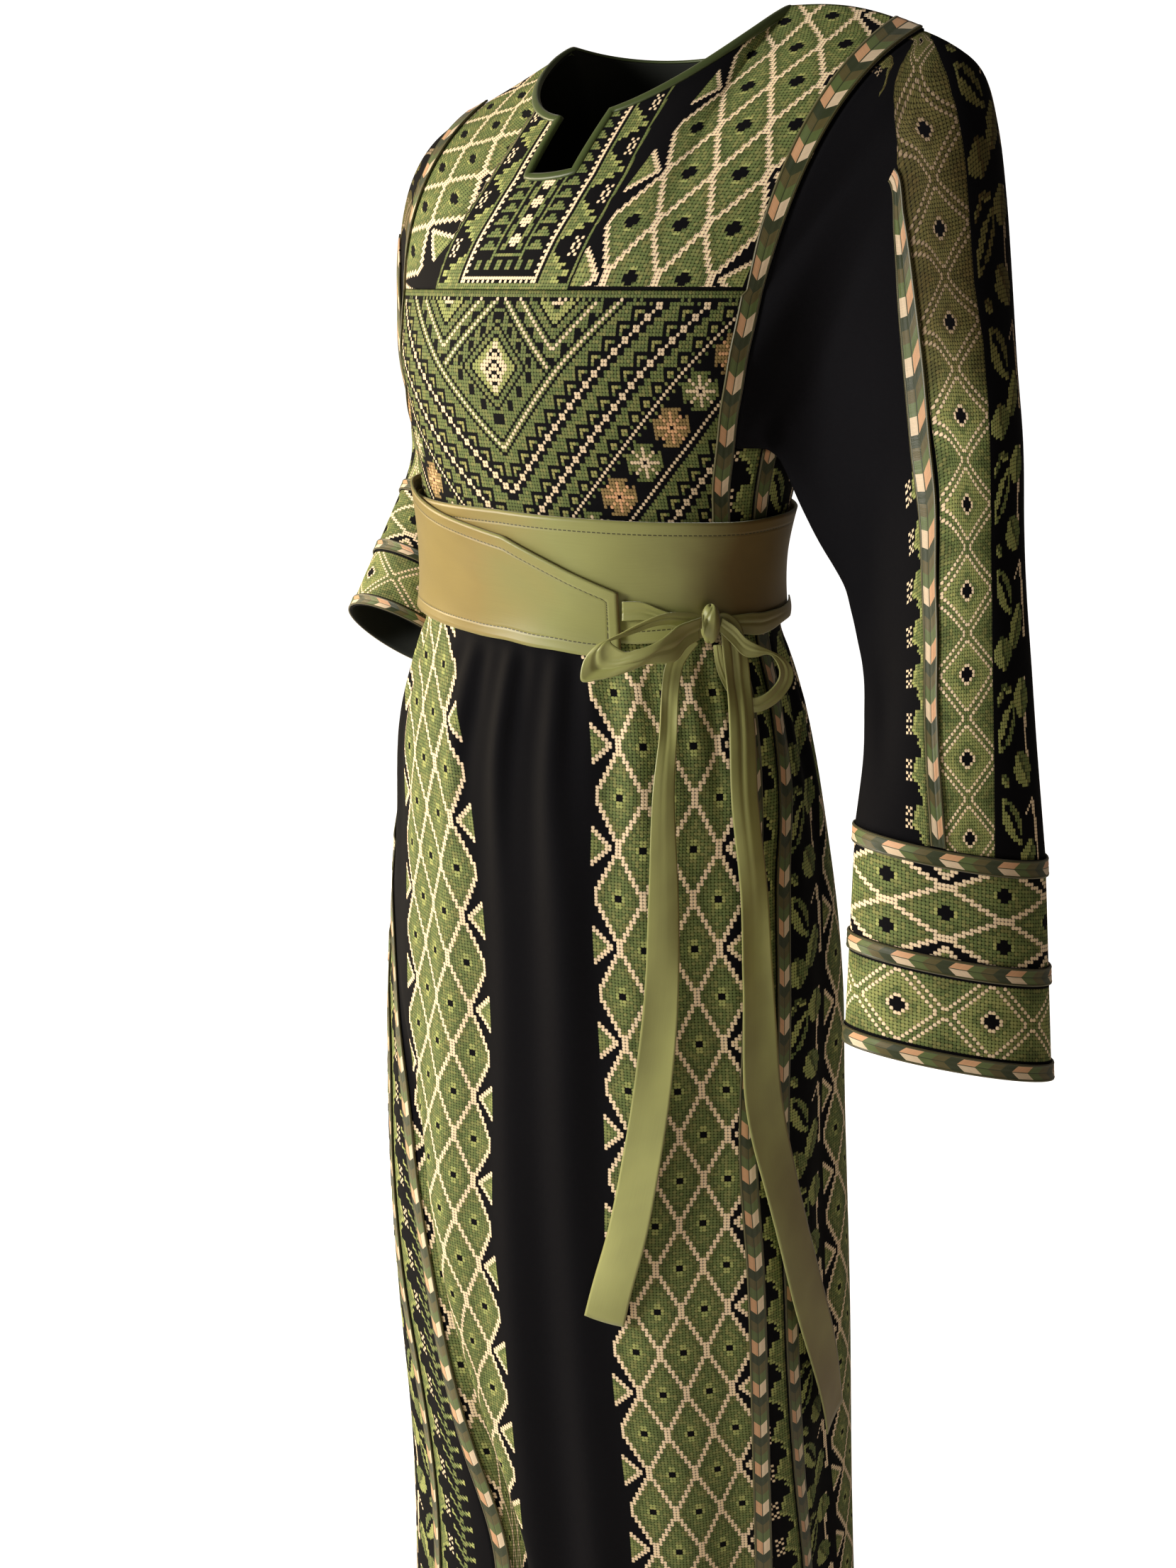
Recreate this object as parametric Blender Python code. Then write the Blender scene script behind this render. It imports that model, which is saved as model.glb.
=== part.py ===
"""Long embroidered dress of straight front panels, side gores, wide sleeves and a wrapped sash belt.

Units are metres, +Z up, +X the wearer's left, -Y the wearer's front. The origin is the middle of the
neck opening at the level of the two shoulder points beside the neck, where the wearer carries it.
Every piece is a thin closed wall, worked out from the tables of ring sizes and seam angles below.
"""
import math

import bpy
import numpy as np

# ---- wall thicknesses and gaps
CLOTH_T = 0.0016      # embroidered crepe with its backing
BRAID_T = 0.0016      # satin-stitched braid
BELT_T = 0.0024       # stiffened satin sash
TIE_T = 0.0012        # satin tie, two layers pressed flat
BIND_T = 0.0010       # bias binding of the neck
GAP = 0.0003          # air between pieces that lie on each other
SEAM = 0.0002         # each panel stops this far short of its seam line
BRAID_W = 0.014       # width of the braid over the long seams
CUFF_BRAID_W = 0.0125 # width of the braid round the cuffs
BIND_W = 0.0052       # width of the binding on the outside

# ---- levels
WAIST_Z = -0.374
CHEST_Z = -0.180
ARM_Z = -0.285
HEM_Z = -1.42

# ---- body rings: z, half width, half depth, centre x, centre y
RINGS = np.array([
    (-0.120, 0.180, 0.100, -0.022, -0.035),
    (-0.180, 0.178, 0.116, -0.028, -0.040),
    (-0.228, 0.174, 0.127, -0.032, -0.039),
    (-0.268, 0.168, 0.130, -0.037, -0.032),
    (-0.323, 0.155, 0.122, -0.042, -0.030),
    (-0.374, 0.150, 0.113, -0.042, -0.035),
    (-0.428, 0.153, 0.111, -0.041, -0.036),
    (-0.468, 0.166, 0.121, -0.042, -0.035),
    (-0.508, 0.177, 0.131, -0.042, -0.035),
    (-0.608, 0.190, 0.146, -0.034, -0.035),
    (-0.708, 0.201, 0.154, -0.031, -0.035),
    (-0.808, 0.208, 0.159, -0.032, -0.035),
    (-1.008, 0.215, 0.167, -0.027, -0.033),
    (-1.208, 0.212, 0.169, -0.016, -0.031),
    (-1.420, 0.216, 0.178, -0.009, -0.031),
])

# ---- seam angles in degrees round the body, 0 at the front, + towards the wearer's left
# z, front panel right, gore right, side-back right, front panel left, gore left, side-back left
SEAMS = np.array([
    (-0.180, -65.5, -78.0, -117.0, 65.5, 78.0, 117.0),
    (-0.285, -66.0, -76.5, -124.0, 66.0, 76.5, 124.0),
    (-0.323, -69.0, -79.0, -126.0, 69.0, 79.0, 126.0),
    (-0.374, -73.0, -82.5, -128.0, 73.0, 82.0, 128.0),
    (-0.428, -77.0, -86.0, -131.0, 77.0, 85.0, 131.0),
    (-0.508, -76.0, -85.0, -134.0, 77.0, 84.0, 136.0),
    (-0.608, -68.0, -77.0, -135.0, 70.5, 76.5, 140.0),
    (-0.708, -52.0, -62.0, -134.0, 67.0, 73.0, 142.0),
    (-0.808, -36.5, -48.0, -132.0, 66.0, 72.0, 144.0),
    (-0.908, -29.5, -43.0, -130.0, 67.5, 73.5, 146.0),
    (-1.008, -20.5, -37.0, -128.0, 68.0, 74.0, 147.0),
    (-1.108, -12.0, -31.0, -127.0, 68.5, 76.0, 148.0),
    (-1.208, -3.0, -26.5, -126.0, 69.0, 80.0, 149.0),
    (-1.308, -2.0, -25.0, -125.0, 69.0, 83.0, 150.0),
    (-1.420, -4.0, -26.0, -124.0, 70.0, 86.0, 150.0),
])
FRONT_R, GORE_R, BACK_R, FRONT_L, GORE_L, BACK_L = range(6)

# ---- soft relief of the skirt: middle angle, half spread in degrees, height at hip, height at hem
FOLDS = np.array([
    (-16.0, 5.0, 0.0030, 0.0020),
    (-6.0, 4.0, -0.0030, -0.0010),
    (2.0, 3.5, 0.0030, 0.0015),
    (10.0, 4.0, -0.0030, -0.0030),
    (18.0, 4.0, 0.0030, 0.0030),
    (26.0, 4.0, -0.0025, -0.0010),
    (38.0, 6.0, 0.0015, 0.0040),
    (52.0, 6.0, -0.0010, -0.0040),
    (64.0, 6.0, 0.0010, 0.0050),
    (96.0, 8.0, -0.0020, -0.0070),
    (118.0, 9.0, 0.0020, 0.0090),
    (142.0, 8.0, -0.0020, -0.0080),
    (160.0, 7.0, 0.0025, 0.0070),
    (180.0, 7.0, -0.0030, -0.0080),
    (200.0, 7.0, 0.0025, 0.0070),
    (222.0, 8.0, -0.0020, -0.0080),
    (246.0, 9.0, 0.0020, 0.0080),
    (270.0, 8.0, -0.0020, -0.0060),
    (300.0, 8.0, 0.0015, 0.0050),
])

# ---- neck opening
NECK_X = 0.094
NECK_FRONT = 0.100
NECK_BACK = 0.058
NECK_DROP = 0.066
NECK_TILT = 0.006
SLIT_U = 0.075         # half width of the slit as a share of the front
SLIT_V = 0.64

# ---- shoulder points at the sleeve heads
TIP_L = (0.197, 0.000, -0.017)
TIP_R = (-0.201, 0.000, -0.046)

# ---- sleeve rings: outer x y z, inner x y z, front radius, back radius, tilt of the front direction
SLEEVE_L = np.array([
    (0.217, -0.001, -0.025, 0.124, 0.030, -0.302, 0.080, 0.058, 0.0),
    (0.240, -0.004, -0.048, 0.124, 0.036, -0.324, 0.076, 0.056, 0.0),
    (0.255, -0.010, -0.090, 0.131, 0.037, -0.346, 0.072, 0.055, 0.0),
    (0.268, -0.016, -0.150, 0.144, 0.032, -0.368, 0.066, 0.053, 0.0),
    (0.280, -0.022, -0.215, 0.164, 0.018, -0.388, 0.060, 0.051, 0.0),
    (0.295, -0.030, -0.280, 0.186, -0.010, -0.405, 0.054, 0.048, 0.0),
    (0.306, -0.035, -0.345, 0.204, -0.040, -0.420, 0.049, 0.046, -3.0),
    (0.319, -0.041, -0.400, 0.219, -0.066, -0.436, 0.046, 0.044, -6.0),
    (0.331, -0.044, -0.465, 0.230, -0.089, -0.468, 0.043, 0.042, 2.0),
    (0.343, -0.042, -0.545, 0.236, -0.109, -0.526, 0.041, 0.041, 10.0),
])
# how far the front of the left sleeve is turned inwards in degrees, by row number
TURN_L = np.array([(0.0, 38.0), (2.0, 35.5), (3.2, 35.0), (4.8, 33.0), (5.5, 28.0), (6.1, 21.0), (6.7, 13.5), (7.4, 5.0),
                   (8.2, 0.0), (9.0, 0.0)])
CUFF_L = np.array([
    (0.343, -0.042, -0.545, 0.236, -0.109, -0.526, 0.041, 0.041, 10.0),
    (0.365, -0.052, -0.700, 0.247, -0.129, -0.678, 0.038, 0.040, 16.0),
])
SLEEVE_R = np.array([
    (-0.224, 0.002, -0.056, -0.207, 0.030, -0.302, 0.078, 0.058, 0.0),
    (-0.251, 0.010, -0.090, -0.209, 0.040, -0.324, 0.073, 0.056, -3.0),
    (-0.276, 0.024, -0.140, -0.216, 0.050, -0.338, 0.067, 0.055, -6.0),
    (-0.293, 0.040, -0.196, -0.224, 0.058, -0.346, 0.062, 0.054, -6.0),
    (-0.307, 0.056, -0.248, -0.230, 0.064, -0.352, 0.058, 0.053, 0.0),
    (-0.319, 0.066, -0.294, -0.233, 0.064, -0.358, 0.056, 0.053, 10.0),
    (-0.328, 0.072, -0.334, -0.236, 0.066, -0.368, 0.054, 0.054, 22.0),
    (-0.336, 0.066, -0.366, -0.237, 0.060, -0.386, 0.052, 0.055, 33.0),
])
CUFF_R = np.array([
    (-0.336, 0.066, -0.366, -0.237, 0.060, -0.386, 0.052, 0.055, 33.0),
    (-0.336, -0.016, -0.476, -0.228, -0.012, -0.486, 0.050, 0.054, 41.0),
])
CUFF_LEN = 0.160

# ---- sash belt: angle along the wrap, top z, bottom z, distance out from the body
BELT = np.array([
    (-66.0, -0.334, -0.420, 0.0052),
    (0.0, -0.332, -0.420, 0.0052),
    (40.0, -0.335, -0.424, 0.0052),
    (66.0, -0.337, -0.419, 0.0058),
    (75.0, -0.337, -0.418, 0.0062),
    (90.0, -0.336, -0.416, 0.0062),
    (115.0, -0.335, -0.413, 0.0056),
    (180.0, -0.330, -0.416, 0.0052),
    (240.0, -0.326, -0.422, 0.0052),
    (268.0, -0.324, -0.425, 0.0056),
    (286.0, -0.323, -0.426, 0.0090),
    (304.0, -0.323, -0.426, 0.0090),
    (322.0, -0.333, -0.427, 0.0090),
    (345.0, -0.343, -0.428, 0.0090),
    (362.0, -0.350, -0.429, 0.0090),
    (382.0, -0.372, -0.433, 0.0090),
    (396.0, -0.386, -0.435, 0.0090),
])


def mix(a, b, t):
    """Straight blend from a to b."""
    return a + (b - a) * t


def unit(v):
    """Vectors scaled to length one."""
    return v / np.maximum(np.linalg.norm(v, axis=-1, keepdims=True), 1e-12)


def smooth(x, xs, ys):
    """Value at x of a smooth curve through the points xs, ys (cubic with centred slopes)."""
    xs = np.asarray(xs, float)
    ys = np.asarray(ys, float)
    if xs[0] > xs[-1]:
        xs, ys = xs[::-1], ys[::-1]
    x = np.clip(np.asarray(x, float), xs[0], xs[-1])
    slope = np.gradient(ys, xs)
    i = np.clip(np.searchsorted(xs, x, side="right") - 1, 0, len(xs) - 2)
    h = xs[i + 1] - xs[i]
    t = (x - xs[i]) / h
    a = ys[i] * (1 + 2 * t) * (1 - t) ** 2 + slope[i] * h * t * (1 - t) ** 2
    b = ys[i + 1] * t * t * (3 - 2 * t) - slope[i + 1] * h * t * t * (1 - t)
    return a + b


def seam(which, z):
    """Angle in degrees of a long seam at height z."""
    return smooth(z, SEAMS[:, 0], SEAMS[:, 1 + which])


def relief(theta, z):
    """How far the skirt stands out from its plain ring: gathers at the waist and soft folds below."""
    deg = np.mod(theta + 60.0, 360.0) - 60.0
    hip = np.clip((WAIST_Z - 0.055 - z) / 0.06, 0, 1)
    low = np.clip((WAIST_Z - 0.08 - z) / 0.95, 0, 1)
    out = 0 * deg
    for mid, spread, high, hem in FOLDS:
        drift = 9.0 * low * (abs(mid - 20.0) < 60.0)
        wave = np.exp(-(((deg - mid - drift) / spread) ** 2))
        out = out + wave * mix(high, hem, low) * hip
    groove = np.exp(-(((theta - seam(FRONT_R, z) - 7.0) / 2.6) ** 2))
    return out - groove * 0.011 * np.clip((-0.72 - z) / 0.25, 0, 1)


def body(theta, z):
    """Point on the dress at an angle in degrees round the body and a height."""
    theta, z = np.broadcast_arrays(np.asarray(theta, float), np.asarray(z, float))
    a, b, cx, cy = (smooth(z, RINGS[:, 0], RINGS[:, k]) for k in (1, 2, 3, 4))
    t = np.radians(theta)
    out = relief(theta, z)
    nx, ny = np.sin(t) / a, -np.cos(t) / b
    n = np.hypot(nx, ny)
    x = cx + a * np.sin(t) + out * nx / n
    y = cy - b * np.cos(t) + out * ny / n
    return np.stack([x, y, z], -1)


def body_normal(theta, z):
    """Outward direction of the dress at an angle and height."""
    along = body(np.asarray(theta) + 0.5, z) - body(np.asarray(theta) - 0.5, z)
    up = body(theta, np.asarray(z) + 0.003) - body(theta, np.asarray(z) - 0.003)
    return unit(np.cross(along, up))


def degrees_for(theta, z, dist):
    """Angle step in degrees that covers a distance along the ring."""
    step = np.linalg.norm(body(theta + 0.5, z) - body(theta - 0.5, z), axis=-1)
    return dist / step


def columns(left, right, z, edge_a, edge_b, inner):
    """Column angles of a panel: braid columns inside either edge and even ones between."""
    cols = [left]
    if edge_a:
        cols += [left + degrees_for(left, z, BRAID_W / 2), left + degrees_for(left, z, BRAID_W)]
    first = cols[-1]
    last = right - degrees_for(right, z, BRAID_W) if edge_b else right
    steps = inner if isinstance(inner, list) else [k / inner for k in range(1, inner)]
    cols += [mix(first, last, k) for k in steps]
    if edge_b:
        cols += [last, right - degrees_for(right, z, BRAID_W / 2)]
    return np.array(cols + [right])


def panel(left, right, zs, edge_a, edge_b, inner):
    """Points and normals of a panel between two seam lines, columns first, rows upwards."""
    zs = np.asarray(zs, float)
    cols = columns(left(zs), right(zs), zs, edge_a, edge_b, inner)
    z = np.broadcast_to(zs, cols.shape)
    return body(cols, z), body_normal(cols, z)


def grid_normal(p, wrap=False):
    """Normals of a point grid from its own differences, columns first."""
    if wrap:
        du = np.roll(p, -1, 0) - np.roll(p, 1, 0)
    else:
        du = np.gradient(p, axis=0)
    dv = np.gradient(p, axis=1)
    return unit(np.cross(du, dv))


def pull_in(p, sides, dist=SEAM):
    """Moves the named borders of a grid inwards so that panels stop short of their seams."""
    p = p.copy()
    if "a" in sides:
        p[0] += unit(p[1] - p[0]) * dist
    if "b" in sides:
        p[-1] += unit(p[-2] - p[-1]) * dist
    if "c" in sides:
        p[:, 0] += unit(p[:, 1] - p[:, 0]) * dist
    if "d" in sides:
        p[:, -1] += unit(p[:, -2] - p[:, -1]) * dist
    return p


def wall(name, p, n, thick, wrap=False, keep=None, centre=0.0):
    """Closed solid made from a grid of points: both faces and a rim along every open edge."""
    nu, nv = p.shape[:2]
    outer = (p + n * (centre + thick / 2)).reshape(-1, 3)
    inner = (p + n * (centre - thick / 2)).reshape(-1, 3)
    count = nu * nv
    cells = nu if wrap else nu - 1
    quads = []
    for i in range(cells):
        k = (i + 1) % nu
        for j in range(nv - 1):
            if keep is None or keep[i][j]:
                quads.append((i * nv + j, k * nv + j, k * nv + j + 1, i * nv + j + 1))
    edges = {}
    for q in quads:
        for s in range(4):
            e = (q[s], q[(s + 1) % 4])
            if (e[1], e[0]) in edges:
                del edges[(e[1], e[0])]
            else:
                edges[e] = 1
    faces = []
    for a, b, c, d in quads:
        faces += [(a, b, c), (a, c, d)]
        faces += [(a + count, c + count, b + count), (a + count, d + count, c + count)]
    for a, b in edges:
        faces += [(b, a, a + count), (b, a + count, b + count)]
    return solid(name, np.vstack([outer, inner]), faces)


COLOURS = {
    "cloth": ((0.016, 0.016, 0.020, 1.0), 0.85, 0.0),
    "braid": ((0.170, 0.220, 0.080, 1.0), 0.55, 0.0),
    "sash": ((0.270, 0.290, 0.105, 1.0), 0.45, 0.0),
    "binding": ((0.150, 0.210, 0.075, 1.0), 0.60, 0.0),
}
KINDS = {}


def solid(name, points, faces):
    """One named object with its own material."""
    used = sorted({i for f in faces for i in f})
    index = {old: new for new, old in enumerate(used)}
    tri = np.array(faces)
    volume = np.einsum("ij,ij->i", points[tri[:, 0]], np.cross(points[tri[:, 1]], points[tri[:, 2]])).sum()
    if volume < 0:
        faces = [f[::-1] for f in faces]
    mesh = bpy.data.meshes.new(name)
    mesh.from_pydata([tuple(points[i]) for i in used], [], [[index[i] for i in f] for f in faces])
    mesh.update()
    obj = bpy.data.objects.new(name, mesh)
    bpy.context.scene.collection.objects.link(obj)
    kind = "cloth"
    for word, k in (("braid", "braid"), ("belt", "sash"), ("tie", "sash"), ("bow", "sash"), ("bind", "binding")):
        if word in name:
            kind = k
    colour, rough, metal = COLOURS[kind]
    mat = bpy.data.materials.new(name + "_mat")
    mat.use_nodes = True
    bsdf = mat.node_tree.nodes["Principled BSDF"]
    bsdf.inputs["Base Color"].default_value = colour
    bsdf.inputs["Roughness"].default_value = rough
    bsdf.inputs["Metallic"].default_value = metal
    mesh.materials.append(mat)
    return obj


def neck_point(psi):
    """Point of the neck opening: psi 0 front middle, 90 left shoulder, 180 back middle."""
    t = np.radians(np.asarray(psi, float))
    c, s = np.cos(t), np.sin(t)
    front = np.clip(c, 0, 1)
    back = np.clip(-c, 0, 1)
    x = NECK_X * s - 0.007 * front
    y = -NECK_FRONT * front + NECK_BACK * back
    z = NECK_TILT * s - NECK_DROP * front ** 1.25 - 0.014 * back ** 1.4
    return np.stack([x, y, z], -1)


def bezier(a, b, c, d, t):
    """Cubic curve from a to d."""
    return a * (1 - t) ** 3 + 3 * b * t * (1 - t) ** 2 + 3 * c * t * t * (1 - t) + d * t ** 3


def yoke_column(u, v, back=False):
    """Point above the chest line: u -1 right armhole to 1 left armhole, v 0 chest to 1 neck or shoulder."""
    u, v = np.broadcast_arrays(np.asarray(u, float), np.asarray(v, float))
    s = np.sign(u)
    m = np.abs(u)
    split = 0.56
    edge = seam(BACK_L, CHEST_Z) if back else seam(FRONT_L, CHEST_Z)
    if back:
        theta = 180.0 - u * (180.0 - edge)
        psi = 180.0 - s * 90.0 * np.clip(m / split, 0, 1) ** 0.9
    else:
        theta = u * edge
        psi = s * 90.0 * np.clip(m / split, 0, 1) ** 0.96
    low = body(theta, CHEST_Z + 0 * u)
    neck = neck_point(psi)
    tip = np.where(s[..., None] >= 0, np.array(TIP_L), np.array(TIP_R))
    r = np.clip((m - split) / (1 - split), 0, 1)[..., None]
    arch = np.zeros_like(neck)
    arch[..., 2] = np.where(s >= 0, 0.006, -0.001) * np.sin(np.pi * r[..., 0])
    top = np.where(m[..., None] <= split, neck, mix(neck, tip, r) + arch)
    span = np.linalg.norm(top - low, axis=-1, keepdims=True)
    side = np.clip((m - 0.25) / 0.75, 0, 1)[..., None]
    if back:
        rise = mix(np.array([0.0, 0.10, 1.0]), np.array([0.0, 0.02, 1.0]), side)
        land = mix(np.array([0.0, -0.45, 0.9]), np.array([0.0, -0.85, 0.5]), side)
    else:
        rise = mix(np.array([0.0, 0.16, 1.0]), np.array([0.0, 0.02, 1.0]), side)
        land = mix(np.array([0.0, 0.62, 0.75]), np.array([0.0, 0.90, 0.42]), side)
    lean = (top - low) * np.array([0.33, 0.0, 0.0])
    b = low + unit(rise) * span * 0.36 + lean
    c = top - unit(land) * span * 0.36 - lean
    return bezier(low, b, c, top, v[..., None])


def shoulder_normal(us, n_row):
    """Normals of a top row, made the same for front and back along the shoulder seams."""
    out = n_row.copy()
    neck = {1.0: neck_point(90.0), -1.0: neck_point(-90.0)}
    for k, u in enumerate(us):
        if abs(u) >= 0.56:
            s = 1.0 if u > 0 else -1.0
            d = unit(np.array(TIP_L if s > 0 else TIP_R) - neck[s])
            up = np.array([0.0, 0.0, 1.0])
            out[k] = unit(up - d * (up @ d))
    return out


def yoke_grid():
    """Front yoke points with the notch of the neck slit left out of the middle columns."""
    e = SLIT_U
    us = np.array([-1.0, -0.955, -0.91, -0.80, -0.68, -0.56, -0.45, -0.35, -0.26, -0.18, -e - 0.035, -e, 0.0,
                   e, e + 0.035, 0.18, 0.26, 0.35, 0.45, 0.56, 0.68, 0.80, 0.91, 0.955, 1.0])
    vs = np.array([0.0, 0.16, 0.32, 0.48, SLIT_V, 0.76, 0.88, 0.96, 1.0])
    u, v = np.meshgrid(us, vs, indexing="ij")
    p = yoke_column(u, v)
    keep = np.ones((len(us) - 1, len(vs) - 1), bool)
    mid = list(us).index(0.0)
    keep[mid - 1:mid + 1, 4:] = False
    return us, vs, p, keep


def braid_over(name, p, n, thick=BRAID_T, below=CLOTH_T, wrap=False):
    """Strip of braid on a panel: the panel's own points moved out."""
    return wall(name, p, n, thick, wrap=wrap, centre=below / 2 + GAP + thick / 2)


# ---- heights and columns of the grids
SKIRT_Z = np.array([HEM_Z, -1.320, -1.220, -1.120, -1.020, -0.920, -0.820, -0.725, -0.640, -0.565,
                    -0.505, -0.460, -0.425, WAIST_Z])
BODICE_Z = np.array([WAIST_Z, -0.345, -0.315, ARM_Z, -0.255, -0.228, -0.203, CHEST_Z])
UNDER_Z = np.array([WAIST_Z, -0.345, -0.315, ARM_Z])


def line(which):
    """Seam line as a function of height."""
    return lambda z: seam(which, z)


BACK_U = np.array([1.0, 0.86, 0.71, 0.56, 0.42, 0.28, 0.14, 0.0, -0.14, -0.28, -0.42, -0.56, -0.71, -0.86, -1.0])


def build_skirt():
    """Front, two gores, two sides and back, with braid on the long seams."""
    turn = 360.0
    shapes = (
        ("skirt_front", line(FRONT_R), line(FRONT_L), True, True, 24),
        ("skirt_gore_left", line(FRONT_L), line(GORE_L), False, False, 3),
        ("skirt_side_left", line(GORE_L), line(BACK_L), True, False, 7),
        ("skirt_back", line(BACK_L), lambda z: seam(BACK_R, z) + turn, False, False, 16),
        ("skirt_side_right", lambda z: seam(BACK_R, z) + turn, lambda z: seam(GORE_R, z) + turn, False, True, 8),
        ("skirt_gore_right", line(GORE_R), line(FRONT_R), False, False, 4),
    )
    for name, left, right, ea, eb, inner in shapes:
        p, n = panel(left, right, SKIRT_Z, ea, eb, inner)
        wall(name, pull_in(p, "abd"), n, CLOTH_T)
        q = pull_in(p, "abd")
        q[:, -1] = mix(q[:, -1], q[:, -2], 0.02)
        if ea:
            braid_over("braid_" + name.replace("skirt_", "") + "_skirt" + ("_r" if name == "skirt_front" else ""),
                       q[:3], n[:3])
        if eb:
            braid_over("braid_" + name.replace("skirt_", "") + "_skirt" + ("_l" if name == "skirt_front" else ""),
                       q[-3:], n[-3:])


def build_bodice():
    """Chest panel, yoke, back and the pieces below the arms."""
    p, n = panel(line(FRONT_R), line(FRONT_L), BODICE_Z, True, True, 14)
    wall("front_chest_panel", pull_in(p, "abcd"), n, CLOTH_T)
    low = pull_in(p, "abc")
    us, vs, yp, keep = yoke_grid()
    yn = grid_normal(yp)
    yn[:, 0] = body_normal(us * seam(FRONT_L, CHEST_Z), CHEST_Z)
    yn[:, -1] = shoulder_normal(us, yn[:, -1])
    wall("front_yoke", pull_in(yp, "abcd"), yn, CLOTH_T, keep=keep)
    # armhole braid, from the shoulder down past the arm to the waist on the chest panel's edge
    for side, sl in (("left", slice(-3, None)), ("right", slice(0, 3))):
        strip = np.concatenate([low[sl][:, :-1], pull_in(yp, "ab")[sl]], 1)
        sn = np.concatenate([n[sl][:, :-1], yn[sl]], 1)
        strip = pull_in(strip, "cd", 0.0008)
        braid_over("braid_armhole_" + side, strip, sn)
    # back, one piece from waist to shoulders
    bz = BODICE_Z
    ub = BACK_U
    inner = [(1 - k) / 2 for k in ub[1:-1]]
    q, qn = panel(line(BACK_L), lambda z: seam(BACK_R, z) + 360.0, bz, False, False, inner)
    vb = np.array([0.16, 0.34, 0.52, 0.68, 0.82, 0.93, 1.0])
    u, v = np.meshgrid(ub, vb, indexing="ij")
    up = yoke_column(u, v, back=True)
    blend = yoke_column(ub, 0 * ub, back=True)
    q[:, -1] = blend
    full = np.concatenate([q, up], 1)
    fn = grid_normal(full)
    fn[:, :4] = qn[:, :4]
    fn[:, -1] = shoulder_normal(ub, fn[:, -1])
    wall("back_bodice", pull_in(full, "abcd"), fn, CLOTH_T)
    for side, a, b, c in (("left", FRONT_L, GORE_L, BACK_L), ("right", FRONT_R, GORE_R, BACK_R)):
        lo, hi = (a, b) if side == "left" else (b, a)
        g, gn = panel(line(lo), line(hi), UNDER_Z, False, False, 2)
        wall("bodice_gore_" + side, pull_in(g, "abcd"), gn, CLOTH_T)
        lo, hi = (b, c) if side == "left" else (c, b)
        s, sn = panel(line(lo), line(hi), UNDER_Z, side == "left", side == "right", 5)
        wall("bodice_side_" + side, pull_in(s, "abcd"), sn, CLOTH_T)
        sl = slice(0, 3) if side == "left" else slice(-3, None)
        strip = pull_in(pull_in(s, "ab")[sl], "cd", 0.0008)
        braid_over("braid_bodice_side_" + side, strip, sn[sl])


ARM_COLS = np.array([0.0, 15.0, 30.0, 45.0, 60.0, 75.5, 91.0, 97.0, 103.0, 114.0, 126.0, 139.0, 147.0,
                     155.0, 166.0, 180.0, 194.0, 207.0, 220.0, 238.0, 256.0, 274.0, 292.0, 310.0, 328.0, 344.0])
BRAID_COLS = slice(6, 9)


def arm_loop(side, phi):
    """Point of the armhole: phi 0 shoulder tip, 0 to 140 down the front, to 220 below, back up to 360."""
    s = 1.0 if side == "left" else -1.0
    fr, bk = (FRONT_L, BACK_L) if side == "left" else (FRONT_R, BACK_R)
    pts = []
    for f in phi:
        if f <= 140.0:
            t = f / 140.0
            if t < 0.62:
                pts.append(yoke_column(s, 1 - t / 0.62))
            else:
                z = mix(CHEST_Z, ARM_Z, (t - 0.62) / 0.38)
                pts.append(body(seam(fr, z), z))
        elif f <= 220.0:
            t = (f - 140.0) / 80.0
            pts.append(body(mix(seam(fr, ARM_Z), seam(bk, ARM_Z), t), ARM_Z))
        else:
            t = (f - 220.0) / 140.0
            if t < 0.36:
                z = mix(ARM_Z, CHEST_Z, t / 0.36)
                pts.append(body(seam(bk, z), z))
            else:
                pts.append(yoke_column(s, (t - 0.36) / 0.64, back=True))
    return np.array([np.asarray(p).reshape(3) for p in pts])


def arm_ring(row, phi):
    """Points of one sleeve ring from its outer and inner points and its front and back radii."""
    o, i = np.array(row[0:3]), np.array(row[3:6])
    rf, rb, tilt = row[6], row[7], math.radians(row[8])
    mid, half = (o + i) / 2, np.linalg.norm(o - i) / 2
    e = unit(o - i)
    f = np.array([0.0, -math.cos(tilt), math.sin(tilt)])
    f = unit(f - e * (f @ e))
    t = np.radians(phi)
    c, s = np.cos(t), np.sin(t)
    depth = np.where(s >= 0, rf, rb)
    return mid + np.outer(c * half, e) + np.outer(s * depth, f)


def keep_clear(p, dist):
    """Points moved straight out until they stand a distance outside the bodice below the arm."""
    z = np.clip(p[:, 2], WAIST_Z - 0.03, ARM_Z)
    a, b, cx, cy = (smooth(z, RINGS[:, 0], RINGS[:, k]) for k in (1, 2, 3, 4))
    mid = np.stack([cx, cy], -1)
    reach = np.hypot((p[:, 0] - cx) / (a + dist), (p[:, 1] - cy) / (b + dist))
    grow = np.maximum(1.0 / np.maximum(reach, 1e-6), 1.0)
    near = np.clip((ARM_Z + 0.045 - p[:, 2]) / 0.025, 0, 1)
    grow = mix(1.0, grow, near)
    q = p.copy()
    q[:, :2] = mid + (p[:, :2] - mid) * grow[:, None]
    return q


def arm_table(rows, at):
    """Sleeve rings spaced evenly by row number."""
    k = np.arange(len(rows))
    return np.stack([smooth(at, k, rows[:, c]) for c in range(rows.shape[1])], -1)


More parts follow.
